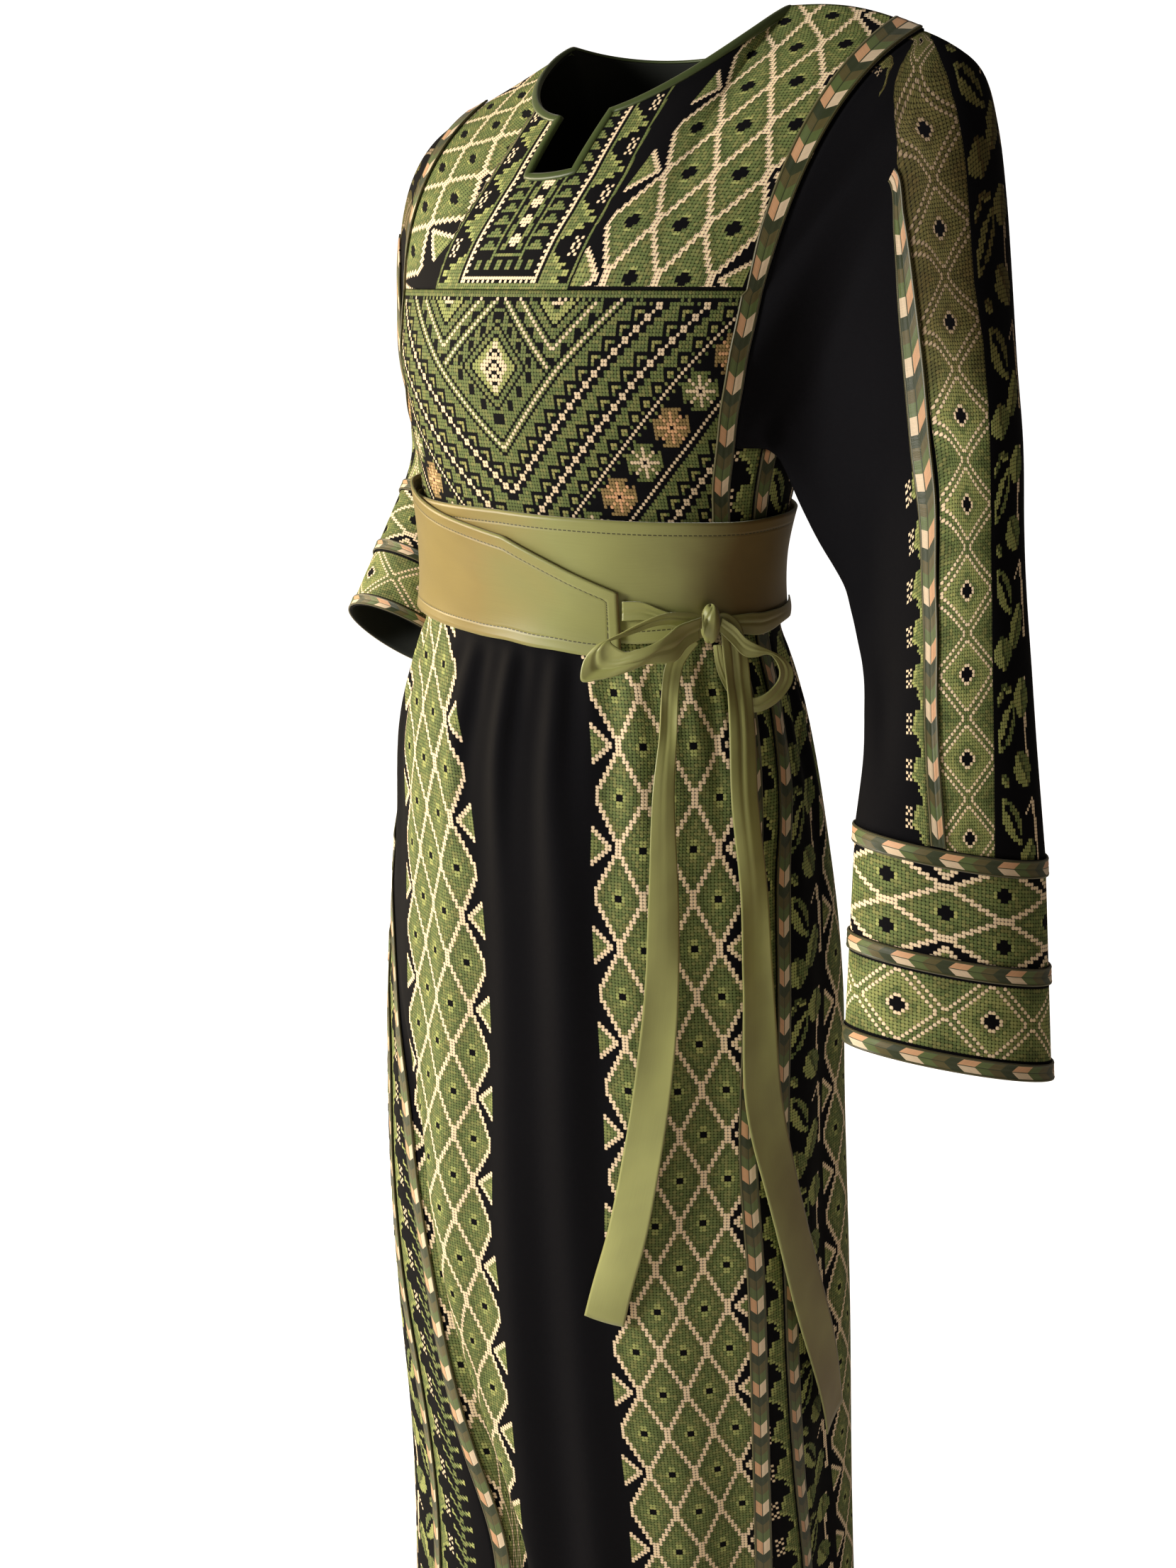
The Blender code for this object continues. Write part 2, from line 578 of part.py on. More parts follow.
def build_arm(side):
    """Sleeve from the armhole to the cuff seam, the cuff, and their braid."""
    rows, cuff = (SLEEVE_L, CUFF_L) if side == "left" else (SLEEVE_R, CUFF_R)
    flip = 1.0 if side == "left" else -1.0
    at = np.linspace(0, len(rows) - 1, 12)
    turn = np.interp(at, TURN_L[:, 0], TURN_L[:, 1]) if side == "left" else (1 - at / (len(rows) - 1)) * 38.0
    under = np.clip(1 - at / (len(rows) - 3), 0, 1) * 30.0
    bump = np.exp(-(((ARM_COLS - 94.0) / 42.0) ** 2))
    heel = np.exp(-(((ARM_COLS - 182.0) / 42.0) ** 2))
    rings = [arm_ring(r, ARM_COLS - w * bump - v * heel) for r, w, v in zip(arm_table(rows, at), turn, under)]
    loop = arm_loop(side, ARM_COLS)
    rings[0] = mix(rings[0], mix(loop, rings[1], 0.45), 0.5)
    low = np.exp(-(((ARM_COLS - 180.0) / 45.0) ** 4))[:, None]
    middle = np.array([-0.037, -0.03, 0.0])
    off = unit((loop - middle) * np.array([1.0, 1.0, 0.0]))
    for k in range(5):
        ledge = loop + off * (0.0075 + 0.0015 * k) - np.array([0.0, 0.0, 0.004 + 0.010 * k])
        rings[k] = mix(rings[k], ledge, low * (1 - 0.2 * k))
    clear = 0.0062 + 0.0120 * (1 - low[:, 0])
    rings = [keep_clear(r, clear + 0.0022 * k) if k < 5 else r for k, r in enumerate(rings)]
    first = loop + unit(rings[0] - loop) * mix(0.0016, 0.0010, low) + off * mix(0.0004, 0.0036, low)
    p = np.stack([first] + rings, 1)
    w = CUFF_BRAID_W / CUFF_LEN
    mid = 0.5
    steps = [0, w, 0.30, mid - 0.015, mid - 0.015 + w, 0.75, 1 - w, 1.0]
    c = np.stack([arm_ring(mix(cuff[0], cuff[1], t), ARM_COLS) for t in steps], 1)
    n = grid_normal(p, wrap=True) * flip
    cn = grid_normal(c, wrap=True) * flip
    n[:, -1] = unit(n[:, -1] + cn[:, 0])
    cn[:, 0] = n[:, -1]
    body_part = pull_in(p, "d")
    wall("sleeve_" + side, body_part, n, CLOTH_T, wrap=True)
    strip = body_part[BRAID_COLS][:, 2:]
    strip = pull_in(strip, "cd", 0.0008)
    braid_over("braid_sleeve_" + side, strip, n[BRAID_COLS][:, 2:])
    c = pull_in(c, "c")
    wall("cuff_" + side, c, cn, CLOTH_T, wrap=True)
    for label, a in (("upper", 0), ("middle", 3), ("hem", 6)):
        part = c[:, a:a + 2]
        if label == "upper":
            part = pull_in(part, "c", 0.0008)
        braid_over("braid_cuff_" + label + "_" + side, part, cn[:, a:a + 2], wrap=True)


def build_belt():
    """Sash wrapped once round and over itself, its outer end cut on a slant."""
    ang = np.linspace(BELT[0, 0], BELT[-1, 0], 57)
    top, low, out = (np.interp(ang, BELT[:, 0], BELT[:, k]) for k in (1, 2, 3))
    rows = np.array([0.0, 0.1, 0.9, 1.0])
    z = mix(low[:, None], top[:, None], rows[None])
    th = np.broadcast_to(ang[:, None], z.shape)
    n = body_normal(th, np.clip(z, -0.43, None))
    plain = body(th, z)
    wall("belt", plain + n * out[:, None, None], n, BELT_T)


def ribbon(name, path, across, width, thick=TIE_T):
    """Flat ribbon along a path, with its half width along the across directions."""
    path = np.asarray(path, float)
    across = unit(np.asarray(across, float))
    width = np.asarray(width, float)
    rows = np.array([-1.0, 0.0, 1.0])
    p = path[:, None] + across[:, None] * (width[:, None] * rows[None])[..., None] * 0.5
    tangent = unit(np.gradient(path, axis=0))
    n = unit(np.cross(tangent, across))
    n = np.broadcast_to(n[:, None], p.shape)
    return wall(name, p, n, thick)


# ---- hanging tails: angle, height, width, distance out
TAIL_L = np.array([
    (60.35, -0.4202, 0.009, 0.0112),
    (55.8, -0.429, 0.013, 0.0112),
    (50.8, -0.440, 0.015, 0.0115),
    (47.8, -0.460, 0.016, 0.0112),
    (46.6, -0.490, 0.016, 0.0105),
    (44.9, -0.535, 0.017, 0.0100),
    (43.7, -0.605, 0.019, 0.0100),
    (42.6, -0.665, 0.020, 0.0100),
    (41.2, -0.719, 0.022, 0.0100),
    (38.9, -0.795, 0.024, 0.0100),
    (35.0, -0.875, 0.026, 0.0100),
    (29.2, -0.948, 0.028, 0.0100),
])
TAIL_R = np.array([
    (64.5, -0.4198, 0.009, 0.0113),
    (68.4, -0.429, 0.015, 0.0112),
    (69.6, -0.443, 0.019, 0.0115),
    (69.0, -0.462, 0.021, 0.0115),
    (67.9, -0.495, 0.023, 0.0110),
    (66.4, -0.540, 0.024, 0.0110),
    (66.4, -0.605, 0.024, 0.0110),
    (65.8, -0.670, 0.024, 0.0110),
    (66.2, -0.754, 0.025, 0.0110),
    (70.8, -0.836, 0.027, 0.0115),
    (78.0, -0.926, 0.029, 0.0120),
    (85.4, -1.006, 0.030, 0.0120),
    (92.2, -1.081, 0.031, 0.0120),
])
KNOT = (62.5, -0.4085)


def on_body(theta, z, out):
    """Point a distance out from the dress."""
    theta, z, out = np.broadcast_arrays(np.asarray(theta, float), np.asarray(z, float), np.asarray(out, float))
    n = body_normal(theta, z)
    return body(theta, z) + n * out[..., None]


def build_ties():
    """Ties, knot, two loops and two tails of the bow."""
    th, z = KNOT
    for name, table in (("tie_tail_left", TAIL_L), ("tie_tail_right", TAIL_R)):
        k = np.concatenate([[0, 1, 2, 3], np.linspace(4, len(table) - 1, 14)])
        cols = [smooth(k, np.arange(len(table)), table[:, c]) for c in range(4)]
        path = on_body(cols[0], cols[1], cols[3])
        side = body_normal(cols[0], cols[1])
        tangent = unit(np.gradient(path, axis=0))
        ribbon(name, path, np.cross(side, tangent), cols[2])
    # tie from below the sash flap to the knot, and the one that comes round the waist
    ang = np.linspace(36.9, th - 3.45, 8)
    path = on_body(ang, np.linspace(-0.404, z - 0.001, 8), np.linspace(0.0092, 0.0115, 8))
    ribbon("tie_short", path, np.tile([0, 0, 1.0], (8, 1)), np.linspace(0.022, 0.010, 8))
    ang = np.linspace(th + 3.45, 118.0, 15)
    path = on_body(ang, np.linspace(z - 0.001, -0.4115, 15), np.interp(ang, [65, 76, 118], [0.0115, 0.0093, 0.0087]))
    ribbon("tie_round", path, np.tile([0, 0, 1.0], (15, 1)), np.linspace(0.010, 0.013, 15))
    # knot: a small closed cushion
    mid = on_body(th, z, 0.0150)
    n = body_normal(th, z)
    right = unit(np.cross(np.array([0, 0, 1.0]), n))
    a = np.radians(np.linspace(0, 360, 13)[:-1])
    rows = np.radians(np.array([-62.0, -30.0, 0.0, 30.0, 62.0]))
    pts = [mid + right * 0.0085 * np.cos(t) * np.cos(r) + n * 0.0075 * np.sin(t) * np.cos(r)
           + np.array([0, 0, 0.0135]) * np.sin(r) for r in rows for t in a]
    pts += [mid - np.array([0, 0, 0.0128]), mid + np.array([0, 0, 0.0128])]
    faces = []
    for r in range(4):
        for k in range(12):
            m = (k + 1) % 12
            faces += [(r * 12 + k, r * 12 + m, r * 12 + 12 + m), (r * 12 + k, r * 12 + 12 + m, r * 12 + 12 + k)]
    for k in range(12):
        m = (k + 1) % 12
        faces += [(60, m, k), (61, 48 + k, 48 + m)]
    solid("bow_knot", np.array(pts), [f[::-1] for f in faces])
    # loops: out from the knot, round the tip and back
    for name, sgn, reach, drop, start in (("bow_loop_left", -1.0, 0.090, 0.038, 0.0096),
                                          ("bow_loop_right", 1.0, 0.054, 0.044, 0.0097)):
        main = unit(right * sgn * reach - np.array([0, 0, drop]) + n * (-0.008 if sgn < 0 else 0.006))
        plane = unit(np.cross(n, main))
        across = unit(plane * 0.90 + n * 0.42 * (1 if plane[2] > 0 else -1))
        apart = np.cross(main, across)
        length = math.hypot(reach, drop)
        t = np.linspace(0.055, 0.945, 17) * math.pi
        reached = (np.sin(t) ** 0.9 - math.sin(t[0]) ** 0.9) / (1 - math.sin(t[0]) ** 0.9)
        along = start + (length - start) * reached
        spread = 0.0085 * 2 * np.cos(t) * np.sin(t)
        lift = n * (0.0010 + 0.0125 * smooth(along, [0, 0.02, 0.04, 0.12], [0, 0.7, 1.0, 1.0]))[:, None]
        path = mid + lift + main * along[:, None] + apart * spread[:, None]
        ribbon(name, path, np.tile(across, (17, 1)), 0.007 + 0.017 * reached ** 0.7)


def build_binding():
    """Bias binding round the neck opening and down both sides of the slit."""
    us, vs, yp, keep = yoke_grid()
    yn = grid_normal(yp)
    yn[:, -1] = shoulder_normal(us, yn[:, -1])
    mid = list(us).index(0.0)
    near = [i for i, u in enumerate(us) if abs(u) <= 0.56]
    right = [i for i in near if i < mid]
    left = [i for i in near if i > mid]
    u, v = np.meshgrid(BACK_U[3:-3], np.array([0.82, 0.93, 1.0]), indexing="ij")
    bp = yoke_column(u, v, back=True)
    bn = grid_normal(bp)
    top = yp.shape[1] - 1
    # every edge point with its normal and one or two directions into the cloth
    rim = []

    def add(i, j, *into):
        rim.append((yp[i, j], yn[i, j], [unit(yp[a, b] - yp[i, j]) for a, b in into]))

    add(right[0], top, (right[0] - 1, top))
    for i in right[1:-1]:
        add(i, top, (i, top - 1))
    i = right[-1]
    add(i, top, (i, top - 1), (i - 1, top))
    for j in (6, 5):
        add(i, j, (i - 1, j))
    add(i, 4, (i - 1, 4), (i, 3))
    add(mid, 4, (mid, 3))
    i = left[0]
    add(i, 4, (i, 3), (i + 1, 4))
    for j in (5, 6):
        add(i, j, (i + 1, j))
    add(i, top, (i + 1, top), (i, top - 1))
    for i in left[1:-1]:
        add(i, top, (i, top - 1))
    add(left[-1], top, (left[-1] + 1, top))
    for i in range(1, len(bp) - 1):
        rim.append((bp[i, -1], bn[i, -1], [unit(bp[i, -2] - bp[i, -1])]))
    edge = np.array([r[0] for r in rim])
    normal = np.array([r[1] for r in rim])
    along = unit(np.roll(edge, -1, 0) - np.roll(edge, 1, 0))
    inside = []
    for k, (point, n, into) in enumerate(rim):
        if len(into) == 2:
            lean = np.linalg.norm(np.cross(into[0], into[1]))
            inside.append(point + (into[0] + into[1]) * BIND_W / lean)
        else:
            lean = np.linalg.norm(np.cross(into[0], along[k]))
            inside.append(point + into[0] * BIND_W / max(lean, 0.7))
    p = np.stack([np.array(inside), edge], 1)
    n = np.stack([normal] * 2, 1)
    wall("neck_binding", p, n, BIND_T, wrap=True, centre=CLOTH_T / 2 + 2 * GAP + BIND_T / 2)


def main():
    """Clears the file and builds every piece."""
    for obj in list(bpy.data.objects):
        bpy.data.objects.remove(obj)
    build_bodice()
    build_skirt()
    build_arm("left")
    build_arm("right")
    build_belt()
    build_ties()
    build_binding()


main()
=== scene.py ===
"""Fine cloth, stitching and finish of a long embroidered dress with wide sleeves and a tied sash belt.

Each panel is a thin surface worked out from the same ring sizes and seam angles as its solid. The cross
stitch is drawn on the panels in whole stitches by node groups that read the panel's own stitch map.
"""
import math

import bmesh
import bpy
import numpy as np
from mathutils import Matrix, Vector


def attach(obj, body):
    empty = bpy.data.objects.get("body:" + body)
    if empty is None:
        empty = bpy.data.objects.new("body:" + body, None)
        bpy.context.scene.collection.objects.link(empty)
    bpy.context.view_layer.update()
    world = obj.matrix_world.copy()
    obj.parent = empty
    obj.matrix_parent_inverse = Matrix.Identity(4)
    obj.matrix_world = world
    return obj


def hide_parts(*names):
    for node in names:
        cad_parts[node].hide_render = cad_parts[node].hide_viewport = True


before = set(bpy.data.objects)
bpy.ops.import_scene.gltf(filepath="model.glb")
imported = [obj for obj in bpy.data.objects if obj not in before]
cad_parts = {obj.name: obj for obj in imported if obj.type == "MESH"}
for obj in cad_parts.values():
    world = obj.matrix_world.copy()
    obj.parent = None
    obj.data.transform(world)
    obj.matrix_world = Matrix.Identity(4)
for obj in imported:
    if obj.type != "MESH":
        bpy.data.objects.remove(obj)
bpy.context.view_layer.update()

bl_info = {
    "name": "Embroidered sash dress",
    "version": (1, 0, 0),
    "blender": (4, 5, 0),
    "location": "3D View > Sidebar > Dress",
    "description": "Builds the cloth, stitching, sash and stage of a long embroidered dress",
    "category": "Object",
}

# ---- wall thicknesses and gaps of the solids, metres
CLOTH_T = 0.0016
BRAID_T = 0.0016
BELT_T = 0.0024
TIE_T = 0.0012
BIND_T = 0.0010
GAP = 0.0003
SEAM = 0.0002
BRAID_W = 0.014
CUFF_BRAID_W = 0.0125
BIND_W = 0.0052
CUFF_LEN = 0.160

# ---- levels, metres
WAIST_Z = -0.374
CHEST_Z = -0.180
ARM_Z = -0.285
HEM_Z = -1.42
# ---- body rings: z, half width, half depth, centre x, centre y
RINGS = np.array([
    (-0.120, 0.180, 0.100, -0.022, -0.035),
    (-0.180, 0.178, 0.116, -0.028, -0.040),
    (-0.228, 0.174, 0.127, -0.032, -0.039),
    (-0.268, 0.168, 0.130, -0.037, -0.032),
    (-0.323, 0.155, 0.122, -0.042, -0.030),
    (-0.374, 0.150, 0.113, -0.042, -0.035),
    (-0.428, 0.153, 0.111, -0.041, -0.036),
    (-0.468, 0.166, 0.121, -0.042, -0.035),
    (-0.508, 0.177, 0.131, -0.042, -0.035),
    (-0.608, 0.190, 0.146, -0.034, -0.035),
    (-0.708, 0.201, 0.154, -0.031, -0.035),
    (-0.808, 0.208, 0.159, -0.032, -0.035),
    (-1.008, 0.215, 0.167, -0.027, -0.033),
    (-1.208, 0.212, 0.169, -0.016, -0.031),
    (-1.420, 0.216, 0.178, -0.009, -0.031),
])

# ---- seam angles in degrees round the body, 0 at the front, + towards the wearer's left
# z, front panel right, gore right, side-back right, front panel left, gore left, side-back left
SEAMS = np.array([
    (-0.180, -65.5, -78.0, -117.0, 65.5, 78.0, 117.0),
    (-0.285, -66.0, -76.5, -124.0, 66.0, 76.5, 124.0),
    (-0.323, -69.0, -79.0, -126.0, 69.0, 79.0, 126.0),
    (-0.374, -73.0, -82.5, -128.0, 73.0, 82.0, 128.0),
    (-0.428, -77.0, -86.0, -131.0, 77.0, 85.0, 131.0),
    (-0.508, -76.0, -85.0, -134.0, 77.0, 84.0, 136.0),
    (-0.608, -68.0, -77.0, -135.0, 70.5, 76.5, 140.0),
    (-0.708, -52.0, -62.0, -134.0, 67.0, 73.0, 142.0),
    (-0.808, -36.5, -48.0, -132.0, 66.0, 72.0, 144.0),
    (-0.908, -29.5, -43.0, -130.0, 67.5, 73.5, 146.0),
    (-1.008, -20.5, -37.0, -128.0, 68.0, 74.0, 147.0),
    (-1.108, -12.0, -31.0, -127.0, 68.5, 76.0, 148.0),
    (-1.208, -3.0, -26.5, -126.0, 69.0, 80.0, 149.0),
    (-1.308, -2.0, -25.0, -125.0, 69.0, 83.0, 150.0),
    (-1.420, -4.0, -26.0, -124.0, 70.0, 86.0, 150.0),
])
FRONT_R, GORE_R, BACK_R, FRONT_L, GORE_L, BACK_L = range(6)

# ---- soft relief of the skirt: middle angle, half spread in degrees, height at hip, height at hem
FOLDS = np.array([
    (-16.0, 5.0, 0.0030, 0.0020),
    (-6.0, 4.0, -0.0030, -0.0010),
    (2.0, 3.5, 0.0030, 0.0015),
    (10.0, 4.0, -0.0030, -0.0030),
    (18.0, 4.0, 0.0030, 0.0030),
    (26.0, 4.0, -0.0025, -0.0010),
    (38.0, 6.0, 0.0015, 0.0040),
    (52.0, 6.0, -0.0010, -0.0040),
    (64.0, 6.0, 0.0010, 0.0050),
    (96.0, 8.0, -0.0020, -0.0070),
    (118.0, 9.0, 0.0020, 0.0090),
    (142.0, 8.0, -0.0020, -0.0080),
    (160.0, 7.0, 0.0025, 0.0070),
    (180.0, 7.0, -0.0030, -0.0080),
    (200.0, 7.0, 0.0025, 0.0070),
    (222.0, 8.0, -0.0020, -0.0080),
    (246.0, 9.0, 0.0020, 0.0080),
    (270.0, 8.0, -0.0020, -0.0060),
    (300.0, 8.0, 0.0015, 0.0050),
])

# ---- neck opening
NECK_X = 0.094
NECK_FRONT = 0.100
NECK_BACK = 0.058
NECK_DROP = 0.066
NECK_TILT = 0.006
SLIT_U = 0.075         # half width of the slit as a share of the front
SLIT_V = 0.64
SLIT_ROW = 51          # row of the yoke's grid at the slit's foot
SLIT_HALF = 4          # columns of that grid from the slit's middle to its side
NECK_U = 0.56          # share of the front's half width that ends at the neck, not at the shoulder

# ---- shoulder points at the sleeve heads
TIP_L = (0.197, 0.000, -0.017)
TIP_R = (-0.201, 0.000, -0.046)

# ---- sleeve rings: outer x y z, inner x y z, front radius, back radius, tilt of the front direction
SLEEVE_L = np.array([
    (0.217, -0.001, -0.025, 0.124, 0.030, -0.302, 0.080, 0.058, 0.0),
    (0.240, -0.004, -0.048, 0.124, 0.036, -0.324, 0.076, 0.056, 0.0),
    (0.255, -0.010, -0.090, 0.131, 0.037, -0.346, 0.072, 0.055, 0.0),
    (0.268, -0.016, -0.150, 0.144, 0.032, -0.368, 0.066, 0.053, 0.0),
    (0.280, -0.022, -0.215, 0.164, 0.018, -0.388, 0.060, 0.051, 0.0),
    (0.295, -0.030, -0.280, 0.186, -0.010, -0.405, 0.054, 0.048, 0.0),
    (0.306, -0.035, -0.345, 0.204, -0.040, -0.420, 0.049, 0.046, -3.0),
    (0.319, -0.041, -0.400, 0.219, -0.066, -0.436, 0.046, 0.044, -6.0),
    (0.331, -0.044, -0.465, 0.230, -0.089, -0.468, 0.043, 0.042, 2.0),
    (0.343, -0.042, -0.545, 0.236, -0.109, -0.526, 0.041, 0.041, 10.0),
])
# how far the front of the left sleeve is turned inwards in degrees, by row number
TURN_L = np.array([(0.0, 38.0), (2.0, 35.5), (3.2, 35.0), (4.8, 33.0), (5.5, 28.0), (6.1, 21.0), (6.7, 13.5),
                   (7.4, 5.0), (8.2, 0.0), (9.0, 0.0)])
CUFF_L = np.array([
    (0.343, -0.042, -0.545, 0.236, -0.109, -0.526, 0.041, 0.041, 10.0),
    (0.365, -0.052, -0.700, 0.247, -0.129, -0.678, 0.038, 0.040, 16.0),
])
SLEEVE_R = np.array([
    (-0.224, 0.002, -0.056, -0.207, 0.030, -0.302, 0.078, 0.058, 0.0),
    (-0.251, 0.010, -0.090, -0.209, 0.040, -0.324, 0.073, 0.056, -3.0),
    (-0.276, 0.024, -0.140, -0.216, 0.050, -0.338, 0.067, 0.055, -6.0),
    (-0.293, 0.040, -0.196, -0.224, 0.058, -0.346, 0.062, 0.054, -6.0),
    (-0.307, 0.056, -0.248, -0.230, 0.064, -0.352, 0.058, 0.053, 0.0),
    (-0.319, 0.066, -0.294, -0.233, 0.064, -0.358, 0.056, 0.053, 10.0),
    (-0.328, 0.072, -0.334, -0.236, 0.066, -0.368, 0.054, 0.054, 22.0),
    (-0.336, 0.066, -0.366, -0.237, 0.060, -0.386, 0.052, 0.055, 33.0),
])
CUFF_R = np.array([
    (-0.336, 0.066, -0.366, -0.237, 0.060, -0.386, 0.052, 0.055, 33.0),
    (-0.336, -0.016, -0.476, -0.228, -0.012, -0.486, 0.050, 0.054, 41.0),
])

# ---- sash belt: angle along the wrap, top z, bottom z, distance out from the body
BELT = np.array([
    (-66.0, -0.334, -0.420, 0.0052),
    (0.0, -0.332, -0.420, 0.0052),
    (40.0, -0.335, -0.424, 0.0052),
    (66.0, -0.337, -0.419, 0.0058),
    (75.0, -0.337, -0.418, 0.0062),
    (90.0, -0.336, -0.416, 0.0062),
    (115.0, -0.335, -0.413, 0.0056),
    (180.0, -0.330, -0.416, 0.0052),
    (240.0, -0.326, -0.422, 0.0052),
    (268.0, -0.324, -0.425, 0.0056),
    (286.0, -0.323, -0.426, 0.0090),
    (304.0, -0.323, -0.426, 0.0090),
    (322.0, -0.333, -0.427, 0.0090),
    (345.0, -0.343, -0.428, 0.0090),
    (362.0, -0.350, -0.429, 0.0090),
    (382.0, -0.372, -0.433, 0.0090),
    (396.0, -0.386, -0.435, 0.0090),
])

# ---- hanging tails: angle, height, width, distance out
TAIL_L = np.array([
    (57.6, -0.4202, 0.009, 0.0112),
    (53.8, -0.429, 0.011, 0.0112),
    (50.8, -0.440, 0.0125, 0.0115),
    (48.8, -0.460, 0.0125, 0.0112),
    (47.4, -0.490, 0.0130, 0.0105),
    (45.2, -0.535, 0.0165, 0.0100),
    (43.7, -0.605, 0.0225, 0.0100),
    (42.6, -0.665, 0.025, 0.0100),
    (41.2, -0.719, 0.027, 0.0100),
    (38.9, -0.795, 0.029, 0.0100),
    (35.0, -0.875, 0.031, 0.0100),
    (29.2, -0.948, 0.032, 0.0100),
])
TAIL_R = np.array([
    (64.6, -0.4075, 0.008, 0.0135),
    (67.0, -0.4080, 0.013, 0.0150),
    (69.4, -0.4180, 0.018, 0.0150),
    (69.8, -0.440, 0.020, 0.0140),
    (69.2, -0.462, 0.020, 0.0125),
    (67.9, -0.495, 0.021, 0.0115),
    (66.4, -0.540, 0.021, 0.0110),
    (66.4, -0.605, 0.022, 0.0110),
    (65.8, -0.670, 0.025, 0.0110),
    (66.2, -0.754, 0.031, 0.0110),
    (70.8, -0.836, 0.033, 0.0115),
    (78.0, -0.926, 0.034, 0.0120),
    (85.4, -1.006, 0.035, 0.0120),
    (92.2, -1.081, 0.035, 0.0120),
])
KNOT = (62.5, -0.4085)
# two edges of each loop in millimetres from the knot's middle: to the wearer's left, up and outwards
LOOP_L = np.array([
    (-7.6, 7.2, 2.0, -7.6, -3.0, 2.0),
    (-20.2, 9.6, 2.5, -21.6, -1.0, 1.4),
    (-32.0, 9.9, 3.2, -32.4, 1.4, 1.6),
    (-43.6, 7.4, 3.5, -43.8, 0.5, 1.4),
    (-56.4, 2.3, 2.6, -57.0, -3.4, 1.5),
    (-67.9, -2.8, 2.5, -67.9, -5.9, 1.5),
    (-76.8, -6.1, 2.6, -75.5, -7.2, 1.9),
    (-86.4, -11.9, -0.9, -75.5, -8.2, 3.0),
    (-94.0, -22.5, -4.2, -74.7, -9.6, 4.2),
    (-95.7, -35.5, -3.6, -71.6, -12.3, 6.0),
    (-85.9, -34.7, 1.5, -65.9, -15.3, 8.3),
    (-75.7, -32.7, 5.2, -57.7, -13.3, 10.9),
    (-63.4, -28.5, 7.8, -46.9, -9.7, 12.5),
    (-50.7, -24.5, 8.8, -37.1, -4.1, 12.5),
    (-31.1, -24.2, 9.0, -28.4, 1.4, 11.2),
    (-20.2, -15.0, 6.6, -17.6, 3.9, 8.7),
    (-10.1, -10.5, 3.9, -8.7, 5.3, 5.0),
])
LOOP_R = np.array([
    (7.5, 4.3, 3.9, 5.4, -5.2, 2.9),
    (16.6, -2.3, 6.4, 14.8, -15.1, 4.6),
    (24.0, -10.5, 6.9, 23.6, -24.0, 5.0),
    (33.3, -16.3, 7.0, 32.4, -25.3, 5.2),
    (44.1, -21.6, 5.8, 41.8, -23.8, 5.2),
    (56.4, -28.6, 3.2, 47.7, -28.7, 5.4),
    (63.4, -37.9, 1.2, 51.4, -36.6, 4.9),
    (62.7, -47.8, 0.4, 50.5, -44.2, 4.1),
    (54.2, -58.1, 0.7, 43.3, -51.5, 4.1),
    (43.2, -64.9, 0.3, 35.1, -55.2, 3.0),
    (32.3, -66.5, -0.5, 28.8, -54.5, 1.7),
    (22.5, -60.8, -1.7, 22.9, -50.7, 0.2),
    (14.6, -51.9, -2.3, 17.3, -45.3, -0.5),
    (8.5, -40.6, -3.1, 14.3, -37.1, -1.3),
    (4.6, -29.1, -3.0, 10.3, -26.0, -1.2),
    (3.4, -16.2, -3.0, 8.1, -15.4, -1.1),
])

# ---- stitch maps
STITCH = 0.00265       # width of a stitch, metres
ROW = 0.002463         # height of a stitch on the skirt, metres
ROW_SHIFT = 186.46     # stitch rows between the chart's zero and height 0
COLUMN = 22.5          # half width of a lattice column with its triangles, stitches
BACK_PLAIN = 18.0      # half width of the plain middle of the skirt's back, stitches
CHEST_MIDDLE = -1.0    # angle of the chest chart's middle, degrees
PLACKET_L = 23.6       # width of the placket's chart to the left of the yoke's middle, stitches
PLACKET_R = 25.7       # and to the right
YOKE_LATTICE = 27.3    # where the yoke's lattices start on their chart
# height, and angles of the two edges of the skirt's plain middle panel
MIDDLE = np.array([
    (-0.36, -29.0, 17.0),
    (-0.42, -25.0, 22.0),
    (-0.46, -17.0, 25.0),
    (-0.50, -11.0, 27.0),
    (-0.60, -4.0, 26.0),
    (-0.70, 0.0, 27.0),
    (-0.80, 2.0, 29.0),
    (-0.90, 2.0, 29.0),
    (-1.00, 5.0, 30.0),
    (-1.10, 6.0, 32.0),
    (-1.42, 8.0, 34.0),
])


# =====================================================================  surfaces of the dress
def mix(a, b, t):
    """Straight blend from a to b."""
    return a + (b - a) * t


def unit(v):
    """Vectors scaled to length one."""
    return v / np.maximum(np.linalg.norm(v, axis=-1, keepdims=True), 1e-12)


def smooth(x, xs, ys):
    """Value at x of a curve through xs, ys: a cubic on each stretch with centred slopes."""
    xs = np.asarray(xs, float)
    ys = np.asarray(ys, float)
    if xs[0] > xs[-1]:
        xs, ys = xs[::-1], ys[::-1]
    x = np.clip(np.asarray(x, float), xs[0], xs[-1])
    slope = np.gradient(ys, xs, axis=0)
    i = np.clip(np.searchsorted(xs, x, side="right") - 1, 0, len(xs) - 2)
    h = xs[i + 1] - xs[i]
    t = (x - xs[i]) / h
    if ys.ndim > 1:
        grow = (slice(None),) + (None,) * (ys.ndim - 1)
        h, t = h[grow], t[grow]
    a = ys[i] * (1 + 2 * t) * (1 - t) ** 2 + slope[i] * h * t * (1 - t) ** 2
    b = ys[i + 1] * t * t * (3 - 2 * t) - slope[i + 1] * h * t * t * (1 - t)
    return a + b


def bell(x, mid, spread):
    """Soft bump: one at mid, falling away over spread."""
    return np.exp(-(((x - mid) / spread) ** 2))


def ramp(x, low, high):
    """Zero below low, one above high, a smooth rise between."""
    t = np.clip((x - low) / (high - low), 0, 1)
    return t * t * (3 - 2 * t)


